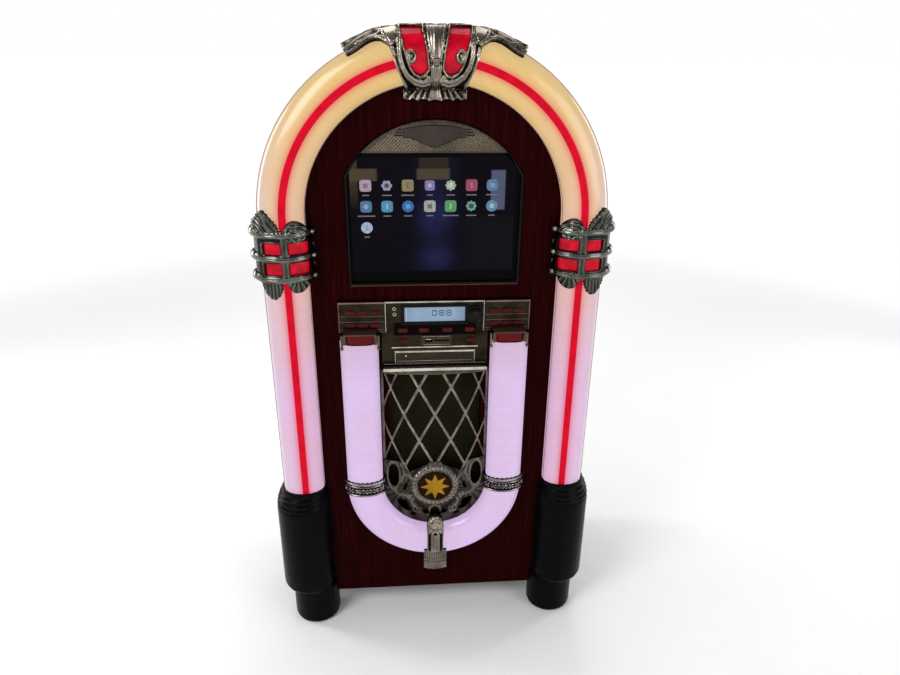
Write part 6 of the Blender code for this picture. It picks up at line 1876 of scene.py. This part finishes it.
@dataclass
class Drive:
    """Disc drive behind the fascia, with a framed drawer front."""

    half: float = 0.068
    low: float = 0.544
    top: float = 0.57
    reach: float = 0.0095
    button_height: float = 0.5575

    def frame(self) -> list[tuple[float, ...]]:
        """The bright frame and the slim line on the drawer's front."""
        half, low, high = self.half - 0.001, self.reach - 0.0002, self.reach + 0.0009
        bottom, top = self.low + 0.0012, self.top - 0.0028
        upright = (low, high, bottom + 0.0009, top - 0.0036)
        return [(-half, half, low, high, top - 0.0034, top), (-half, half, low, high - 0.0003, bottom, bottom + 0.0007),
                (-half, -half + 0.0012, *upright), (half - 0.0012, half, *upright),
                (-half + 0.004, half - 0.004, low, high - 0.0004, bottom + 0.0026, bottom + 0.0036)]

    def build(self) -> None:
        """Builds the drawer and dresses the drive."""
        cover("cd_tray", 0.0003, TRAY_FRONT, "frame_black", "cd_tray")
        bars("tray_frame", self.frame(), LINE_CHROME, body="cd_tray")
        for name, x, radius, finish in (("tray_lamp", -0.0485, 0.0013, PHONO_WHITE),
                                        ("tray_button", 0.048, 0.0017, FASCIA_PLATE)):
            profile = [(across, front(self.reach + rise)) for across, rise in (
                (0.0001, -0.0003), (radius, -0.0003), (radius, 0.0006), (radius * 0.7, 0.001), (0.0001, 0.0011))]
            solid(name, turned(profile, (x, self.button_height), 24), finish, "frame_black", body="cd_tray")
        cover("cd_turntable", 0.0002, TURNTABLE, "turntable_grey", "cd_turntable")
        repaint("cd_drive_housing", STEEL)
        repaint("tray_pinion", NYLON)


@dataclass
class Grille:
    """Bulging cast lattice with scrollwork round a star medallion, cloth and loudspeaker behind."""

    cell: float = 0.0008
    half: float = 0.0922
    low: float = 0.2064
    top: float = 0.5305
    seat: float = 0.0039
    thickness: float = 0.0032
    bulge: float = 0.012
    ellipse: float = 0.107
    row: float = 0.4465
    row_height: float = 0.105
    pitch_angle: float = math.pi / 6
    bar_half: float = 0.0027
    rim: float = 0.0042
    medallion: Pair = (0.0, 0.299)
    ring: Pair = (0.0304, 0.044)
    oval_centre: Pair = (0.0745, 0.3205)
    oval_half: Pair = (0.009, 0.0235)
    curl: Pair = (0.031, 0.2455)
    knot: Pair = (0.048, 0.274)
    scroll_edge: tuple[tuple[float, ...], tuple[float, ...]] = (
        (0.0, 0.0095, 0.015, 0.025, 0.037, 0.044, 0.05, 0.056, 0.06, 0.065, 0.088),
        (0.352, 0.3515, 0.344, 0.3395, 0.3345, 0.33, 0.332, 0.341, 0.35, 0.352, 0.353),
    )
    crescent: Pairs = ((0.07, 0.27), (0.0675, 0.26), (0.062, 0.25), (0.0545, 0.2435), (0.046, 0.2405), (0.044, 0.245),
                       (0.048, 0.252), (0.05, 0.26), (0.052, 0.266), (0.06, 0.27))
    notch: Pairs = ((0.049, 0.303), (0.052, 0.2925), (0.058, 0.2885), (0.0575, 0.296), (0.054, 0.307))
    stems: tuple[tuple[Pairs, float, float, float], ...] = (
        (((0.042, 0.314), (0.047, 0.3225), (0.053, 0.3255), (0.0585, 0.318), (0.06, 0.306)), 0.0036, 0.0036, 0.001),
        (((0.074, 0.294), (0.07, 0.283), (0.062, 0.279), (0.053, 0.279), (0.048, 0.274)), 0.0038, 0.0036, 0.001),
        (((0.061, 0.345), (0.057, 0.336), (0.056, 0.326)), 0.003, 0.0034, 0.0),
        (((0.0395, 0.252), (0.042, 0.262), (0.04, 0.27)), 0.003, 0.0034, 0.0),
        (((0.0, 0.256), (0.008, 0.249), (0.011, 0.238), (0.012, 0.225)), 0.0034, 0.0036, 0.0),
    )
    star_tip: float = 0.0265
    star_waist: float = 0.0135
    disc_reach: float = 0.0193
    disc_profile: Pairs = ((0.0004, -0.0034), (0.0298, -0.0034), (0.0299, -0.0004), (0.0292, 0.0006), (0.0283, 0.0006),
                           (0.0276, 0.0), (0.0004, 0.0))

    def away(self, x: Grid, z: Grid) -> Grid:
        """Distance from the middle of the U that the grille fills."""
        return np.where(z > BOW_CENTRE, np.abs(x), np.hypot(x, z - BOW_CENTRE))

    def swell(self, x: Grid, z: Grid) -> Grid:
        """How far the bulge lifts a point."""
        share = np.minimum(self.away(x, z), self.half) / self.ellipse
        edge = math.sqrt(1 - (self.half / self.ellipse) ** 2)
        return self.bulge * (np.sqrt(1 - share ** 2) - edge) / (1 - edge)

    def lattice(self, x: Grid, z: Grid) -> Grid:
        """Distance to the nearest lattice line."""
        turn = np.arcsin(np.clip(x / self.ellipse, -1, 1)) / self.pitch_angle
        level = (z - self.row) / self.row_height
        steep = math.hypot(1 / (self.ellipse * self.pitch_angle), 1 / self.row_height)
        first, second = turn + level, turn - level
        return np.minimum(np.abs(first - np.round(first)), np.abs(second - np.round(second))) / steep

    def scroll(self, x: Grid, z: Grid) -> Grid:
        """Signed distance to the scrollwork field under the lattice."""
        return (z - np.interp(np.abs(x), *self.scroll_edge)) * 0.8

    def holes(self, x: Grid, z: Grid) -> Grid:
        """Signed distance to the openings in the scrollwork."""
        a = np.abs(x)
        return np.minimum.reduce([
            disc(a, z, self.medallion, self.ring[0]), oval(a, z, self.oval_centre, self.oval_half),
            patch(a, z, self.crescent), patch(a, z, self.notch), oval(a, z, (0.0165, 0.2395), (0.0062, 0.0052)),
            oval(a, z, (0.04, 0.233), (0.006, 0.0032)),
        ])

    def outline(self, x: Grid, z: Grid) -> Grid:
        """The casting: rim, lattice and scrollwork less its openings."""
        opening, scroll = self.away(x, z) - self.half, self.scroll(x, z)
        rails = np.minimum(np.maximum(-(opening + self.rim), -1), self.top - self.rim * 1.4 - z)
        work = np.minimum(rails, np.maximum(scroll, -self.holes(x, z)))
        metal = np.where(scroll < 0, work, np.minimum(self.lattice(x, z) - self.bar_half, work))
        return np.maximum(metal, opening)

    def height(self, x: Grid, z: Grid) -> Grid:
        """How far the carving stands above the bars' flat."""
        a, lattice, scroll = np.abs(x), self.lattice(x, z), self.scroll(x, z)
        reach = np.hypot(x - self.medallion[0], z - self.medallion[1])
        angle = np.arctan2(x - self.medallion[0], z - self.medallion[1])
        bar = (0.0011 - ridge(lattice, 0.0011, 0.0012)) * smooth(self.bar_half - lattice, 0.0, 0.0007)
        inner_ring, outer_ring = self.ring
        rope = ridge(reach - (inner_ring + outer_ring) / 2 - 0.0004, 0.0062, 0.0044)
        rope = rope + np.where(np.abs(reach - 0.0376) < 0.0056, 0.0007 * np.cos(angle * 30 + reach * 420), 0)
        marks = [rope, ridge(reach - inner_ring - 0.0012, 0.0012, 0.003),
                 ridge(oval(a, z, self.oval_centre, self.oval_half) - 0.0022, 0.0024, 0.0034),
                 cord(a, z, spiral(self.curl, 0.0092, 1.4, 60, -1), 0.0023, 0.004),
                 ridge(disc(a, z, self.curl, 0.0), 0.003, 0.0042),
                 cord(a, z, spiral(self.knot, 0.006, 1.2, 20, 1), 0.0018, 0.0036)]
        marks += [cord(a, z, points, half, rise, groove, groove) for points, half, rise, groove in self.stems]
        petals = 0.0022 + 0.001 * np.cos(np.arctan2(x, z - 0.338) * 7.0)
        marks.append(np.where((reach > outer_ring - 0.001) & (a < 0.015) & (z > 0.338), petals, 0))
        veins = 0.0012 + 0.0006 * np.sin(np.arctan2(a - 0.06, z - 0.29) * 14.0)
        marks.append(np.where(scroll < 0, veins, 0))
        carved = np.maximum.reduce(marks) * smooth(self.half - self.away(x, z), 0.0, 0.002)
        return np.where(scroll < 0.0008, np.maximum(carved, bar), bar)

    def light_level(self, x: Grid, z: Grid) -> Grid:
        """How much painted shade the casting takes: little on the bars' crests and the scrollwork's heights, more at
        the bar edges, in the low scrollwork and on the top rail.
        """
        # painted shade: bar edges, low scrollwork and the top rail get low levels, which darken them
        lightness = 0.45 + 0.5 * smooth(self.bar_half - self.lattice(x, z), 0.0, 0.0009)
        lightness = np.where(z > self.top - self.rim * 1.4, 0.3, lightness)
        return np.where(self.scroll(x, z) < 0.0008, 0.06 + 0.5 * self.height(x, z) / 0.0046, lightness)

    def face(self, x: Grid, z: Grid) -> Spots:
        """Places of the casting's front."""
        return x, FACE - self.seat - self.swell(x, z) - self.height(x, z), z

    def back(self, x: Grid, z: Grid) -> Spots:
        """Places of the casting's back."""
        return x, FACE - self.seat - self.swell(x, z) + self.thickness, z

    def star(self) -> Skin:
        """The faceted eight-pointed star."""
        points: list[Point] = []
        centre_x, centre_z = self.medallion
        for layer in (0.0, 0.0007):
            for step in range(16):
                angle = math.pi * step / 8
                radius = (self.star_waist if step % 2 else self.star_tip) - layer * 0.6
                points.append((centre_x + radius * math.sin(angle), front(self.disc_reach + layer),
                               centre_z + radius * math.cos(angle)))
        points += [(centre_x, front(self.disc_reach + rise), centre_z) for rise in (0.0021, -0.0004)]
        faces = []
        for step in range(16):
            after = (step + 1) % 16
            faces += [(step, after, 16 + after, 16 + step), (16 + step, 16 + after, 32), (after, step, 33)]
        return points, faces

    def build(self) -> None:
        """Builds the casting and the medallion, and dresses what lies behind."""
        casting = Relief((-self.half, self.half), (self.low, self.top), self.cell, self.outline, self.face,
                         self.back, self.height, self.light_level).build("grille_lattice")
        dress(casting, GRILLE_METAL, "grille_metal", "grille_casting")
        profile = [(radius, front(self.disc_reach + rise)) for radius, rise in self.disc_profile]
        solid("medallion_ground", turned(profile, self.medallion, 72), DISC_BROWN, "medallion_gold", "medallion")
        solid("medallion_star", self.star(), GOLD, "medallion_gold", sharp=12.0)
        repaint("grille_cloth", CLOTH)
        repaint("speaker", SPEAKER_BLACK)


@dataclass
class BowTrim:
    """Collars and pendant on the inner tube."""

    skin: TubeSkin = TubeSkin(0.0315, 0.008, 0.0255)
    cell: float = 0.0008
    pendant_cell: float = 0.00065
    collar_low: float = 0.288
    collar_high: float = 0.317
    neck_half: float = 0.0155
    block_half: float = 0.0213
    block_top: float = 0.16
    pendant_top: float = 0.2368
    pendant_low: float = 0.1172
    neck: Pairs = ((0.0, 0.2368), (0.006, 0.2362), (0.0115, 0.2325), (0.015, 0.224), (0.0155, 0.21), (0.0146, 0.19),
                   (0.015, 0.156), (0.0, 0.156))
    neck_reach: tuple[tuple[float, ...], tuple[float, ...]] = ((0.16, 0.164, 0.215, 0.225, 0.237),
                                                               (0.0285, 0.0345, 0.0335, 0.03, 0.024))
    leaf: Pairs = ((0.0, 0.211), (0.005, 0.205), (0.007, 0.198), (0.0035, 0.1925), (0.0, 0.19))
    crest: Pairs = ((0.0, 0.234), (0.005, 0.2315), (0.01, 0.226), (0.012, 0.217), (0.0105, 0.208))
    bands: tuple[float, ...] = (0.1585, 0.1385, 0.131, 0.1272, 0.1234, 0.1196)
    grille_reach: float = 0.012

    def collar_height(self, s: Grid, z: Grid) -> Grid:
        """Rolled lower edge, running scroll and a rope along the top."""
        rope = ridge(z - 0.3132, 0.0032, 0.0024) * (0.8 + 0.2 * ripple(s + (z - 0.3132) * 0.6, 0.0042))
        wave = np.sin(s * TURN / 0.012)
        vine = ridge(z - 0.2995 - 0.0034 * wave, 0.0016, 0.0019)
        buds = ridge(np.hypot(np.mod(s, 0.006) - 0.003, z - 0.2995 + 0.003 * wave), 0.002, 0.0017)
        return 0.0029 + np.maximum.reduce([rope, ridge(z - 0.2905, 0.0023, 0.0021),
                                           ridge(z - 0.3078, 0.0013, 0.0014), vine, buds])

    def collar_outline(self, s: Grid, z: Grid) -> Grid:
        """The band between its two edges."""
        middle, half = (self.collar_low + self.collar_high) / 2, (self.collar_high - self.collar_low) / 2
        return np.abs(z - middle) - half + 0.0006 * (1 + ripple(s, 0.0084)) * (z > middle)

    def pendant_outline(self, x: Grid, z: Grid) -> Grid:
        """Neck over a wider block, its brow rounded and its foot scalloped."""
        a = np.abs(x)
        foot = 0.1178 + 0.0006 * ripple(x, 0.0086)
        block = np.maximum(slab(a, z, (0.0, 0.1395), (self.block_half, 0.0225), 0.0015), foot - z)
        return np.minimum(patch(a, z, self.neck), block)

    def pendant_height(self, x: Grid, z: Grid) -> Grid:
        """Leaf scrolls on the neck, a grooved shaft, and flutes on the block."""
        a, neck = np.abs(x), z > self.block_top
        bands = sum((ridge(z - level, 0.0013, 0.0022) for level in self.bands), 0 * x)
        return np.maximum.reduce([
            cord(a, z, spiral((0.0062, 0.2215), 0.0056, 1.3, 200, 1), 0.0018, 0.0034),
            cord(a, z, self.leaf, 0.0024, 0.0034), cord(a, z, self.crest, 0.0022, 0.0032),
            ridge(disc(x, z, (0.0, 0.23), 0.0), 0.004, 0.0034),
            np.where((z < 0.202) & neck, pillow(a - 0.0098, 0.0022, 0.0026) + 0.0008 * ripple(a, 0.0066), 0),
            np.where((z < 0.215) & neck, ridge(a - 0.0138, 0.0015, 0.0022), 0),
            np.where(z < self.block_top, 0.0014 + 0.0004 * ripple(x, 0.0043), 0),
            np.where(z < self.block_top + 0.0005, bands, 0),
            np.where(z > 0.206, 0.0022 + 0.0011 * np.cos(np.arctan2(x, z - 0.204) * 14.0), 0),
        ])

    def pendant_face(self, x: Grid, z: Grid) -> Spots:
        """Places of the pendant's front."""
        reach = np.interp(z, *self.neck_reach) - 0.0022 * (np.abs(x) / self.neck_half) ** 2
        return x, FACE - reach - self.pendant_height(x, z), z

    def pendant_back(self, x: Grid, z: Grid) -> Spots:
        """Places of the pendant's back, on the tube, the grille or the wood."""
        rise = self.skin.bulge - self.skin.side
        share = np.abs(np.hypot(x, z - BOW_CENTRE) - BOW_PATH_RADIUS) / self.skin.half
        tube = np.where(share < 1, self.skin.side + rise * np.sqrt(np.clip(1 - share ** 2, 0, 1)), 0.0)
        return x, FACE - (np.maximum(np.where(z > 0.198, self.grille_reach, 0.0), tube) + 0.0004), z

    def build(self) -> None:
        """Builds the two collars and the pendant."""
        foot = self.skin.length() - 0.0004
        for sign, label in SIDES:
            piece = Relief(
                (-foot, foot), (self.collar_low, self.collar_high), self.cell, self.collar_outline,
                self.skin.on_leg(sign, BOW_PATH_RADIUS, self.collar_height),
                self.skin.on_leg(sign, BOW_PATH_RADIUS, lambda s, z: 0.0004), self.collar_height,
            ).build(f"{label}_collar_band")
            dress(piece, COLLAR_METAL_GLOW_TINT, "chromed_plastic", f"{label}_collar")
        piece = Relief((-self.block_half, self.block_half), (self.pendant_low, self.pendant_top), self.pendant_cell,
                       self.pendant_outline, self.pendant_face, self.pendant_back,
                       self.pendant_height).build("bow_pendant")
        dress(piece, CROWN_METAL, "chromed_plastic", "centre_pendant")


@dataclass
class Rear:
    """Screws, sockets, switch and electronics at the back."""

    panel: float = 0.1529
    plate: float = 0.155
    sunk: float = 0.0004
    screw_radius: float = 0.0038
    screw_reach: float = 0.258
    screw_levels: tuple[float, ...] = (0.03, 0.35, 0.68, 1.0)
    screw_angles: tuple[float, ...] = (36.0, 72.0, 108.0, 144.0)
    base: float = 0.05
    margin: float = 0.008
    connector: Pair = (0.12, 0.165)
    corner: Pair = (0.0565, 0.0315)
    phono_offset: float = 0.032
    phono_pitch: float = 0.016
    phono_profile: Pairs = ((0.0042, -0.0003), (0.0062, -0.0003), (0.0062, 0.0009), (0.0055, 0.0014), (0.0042, 0.0014))

    def screws(self) -> list[tuple[Point, Point, float]]:
        """Place, facing and size of every screw head."""
        low = self.base + 2 * self.margin
        span = ARCH_CENTRE - self.base - 2 * self.margin
        spots = [(side * self.screw_reach, low + share * span) for side in (-1, 1) for share in self.screw_levels]
        for turn in map(math.radians, self.screw_angles):
            spots.append((self.screw_reach * math.cos(turn), ARCH_CENTRE + self.screw_reach * math.sin(turn)))
        (x, z), (across, rise) = self.connector, self.corner
        ends = [(x + side * across, z + way * rise) for side in (-1, 1) for way in (-1, 1)]
        return [((a, depth - self.sunk, b), (0.0, 1.0, 0.0), size)
                for group, depth, size in ((spots, self.panel, 1.0), (ends, self.plate, 0.55)) for a, b in group]

    def build(self) -> None:
        """Builds the rear pieces."""
        cover("connector_plate", 0.0003, TRIM_BLACK, "frame_black")
        heads = STUDS.grow("rear_screws", spots_mesh("rear_screws", self.screws()), STEEL, Sides=16,
                           Low_Radius=self.screw_radius, Top_Radius=self.screw_radius * 0.55, Depth=0.0022)
        dress(heads, STEEL, "steel_sheet")
        profile = [(radius, self.plate + rise) for radius, rise in self.phono_profile]
        for column, finish in enumerate((PHONO_WHITE, PHONO_RED)):
            for row in (-1, 1):
                x = self.connector[0] - self.phono_offset + column * self.phono_pitch - self.phono_pitch / 2
                centre = (x, self.connector[1] + row * self.phono_pitch / 2)
                solid(f"phono_ring_{column + 1}_{(row + 3) // 2}", turned(profile, centre, 32, True), finish,
                      "frame_black")
        cover("rocker_switch", 0.0004, RED, "red_plastic", "rocker_switch")
        repaint("amplifier_board", CIRCUIT)


@dataclass
class Studio:
    """Floor, lights and the camera at the photograph's angle."""

    focal_pixels: float = 696.83
    image_width: float = 900.0
    sensor: float = 36.0
    eye: Point = (-0.05915, -1.06698, 1.05599)
    angles: Point = (4.557, 23.73, 0.599)
    floor_half: float = 30.0
    horizon: Colour = (1.0, 1.0, 1.0, 1.0)
    zenith: Colour = (0.16, 0.16, 0.17, 1.0)
    lamps: tuple[tuple[str, Point, Point, Pair, float], ...] = (
        ("key_box", (-1.5, -1.5, 1.9), (0.0, -0.1, 0.55), (1.0, 1.3), 34.0),
        ("fill_box", (1.7, -1.6, 1.2), (0.0, -0.1, 0.5), (1.1, 1.5), 16.0),
        ("top_box", (0.0, 0.2, 2.4), (0.0, 0.0, 0.5), (1.6, 1.0), 20.0),
        ("left_edge", (-1.9, 0.5, 1.0), (0.0, 0.0, 0.6), (0.5, 1.6), 22.0),
        ("right_edge", (1.9, 0.7, 1.0), (0.0, 0.0, 0.6), (0.4, 1.6), 12.0),
        ("back_box", (0.3, 2.0, 1.6), (0.0, 0.0, 0.5), (1.2, 1.2), 18.0),
    )

    def camera(self) -> None:
        """Sets the camera as it stood for the photograph; its angles are yaw, pitch and roll in degrees."""
        yaw, pitch, roll = map(math.radians, self.angles)
        ahead = Vector((math.sin(yaw) * math.cos(pitch), math.cos(yaw) * math.cos(pitch), -math.sin(pitch)))
        level = Vector((math.cos(yaw), -math.sin(yaw), 0.0))
        upright = level.cross(ahead)
        right = math.cos(roll) * level + math.sin(roll) * upright
        up = math.cos(roll) * upright - math.sin(roll) * level
        data = bpy.data.cameras.new("camera")
        data.sensor_width, data.sensor_fit = self.sensor, "HORIZONTAL"
        data.lens = self.focal_pixels / self.image_width * self.sensor
        data.clip_start, data.clip_end = 0.01, 100.0
        camera = link("camera", data)
        camera.matrix_world = Matrix((right, up, -ahead)).transposed().to_4x4()
        camera.location = (self.eye[0], self.eye[1] + FACE, self.eye[2])
        bpy.context.scene.camera = camera

    def lamp(self, name: str, spot: Point, target: Point, size: Pair, power: float) -> None:
        """Adds one soft box that looks at a target."""
        data = bpy.data.lights.new(name, "AREA")
        data.shape = "RECTANGLE"
        data.size, data.size_y = size
        data.energy = power
        way = Vector(target) - Vector(spot)
        turned_way = way.to_track_quat("-Z", "Y").to_matrix().to_4x4()
        link(name, data).matrix_world = Matrix.Translation(spot) @ turned_way

    def sky(self) -> None:
        """White at the horizon, darker overhead, so that plating has something to mirror."""
        world = bpy.data.worlds.new("studio")
        world.use_nodes = True
        graph = Graph(world.node_tree)
        world.node_tree.nodes.clear()
        height = graph.wire("Z", "ShaderNodeSeparateXYZ", {0: graph.wire("Generated", "ShaderNodeTexCoord")})
        ramp = graph.add("ShaderNodeValToRGB", {0: height})
        for stop, position, colour in zip(ramp.color_ramp.elements, (0.1, 0.45), (self.horizon, self.zenith)):
            stop.position, stop.color = position, colour
        shader = graph.add("ShaderNodeBackground", {"Color": ramp, "Strength": 1.0})
        graph.add("ShaderNodeOutputWorld", {"Surface": shader})
        bpy.context.scene.world = world

    def build(self) -> None:
        """Builds floor, lights, sky and camera."""
        half = self.floor_half
        points = [(x, y, 0) for x, y in corners(-half, half, -half, half)]
        floor = place("studio_floor", make_mesh("floor", points, [(0, 1, 2, 3)]))
        floor.data.materials.append(FLOOR.material())
        self.camera()
        self.sky()
        for lamp in self.lamps:
            self.lamp(*lamp)
        bpy.context.scene.view_settings.view_transform = "Standard"


def main() -> None:
    """Builds the studio and every sub-assembly in turn."""
    logging.basicConfig(level=logging.INFO, format="%(name)s: %(message)s")
    for part in (Studio(), Cabinet(), LightTubes(), Boots(), Clamps(), Crown(), Window(), Fascia(), Drive(),
                 Grille(), BowTrim(), Rear()):
        part.build()
        LOG.info("%s done", type(part).__name__)


if __name__ == "__main__":
    main()
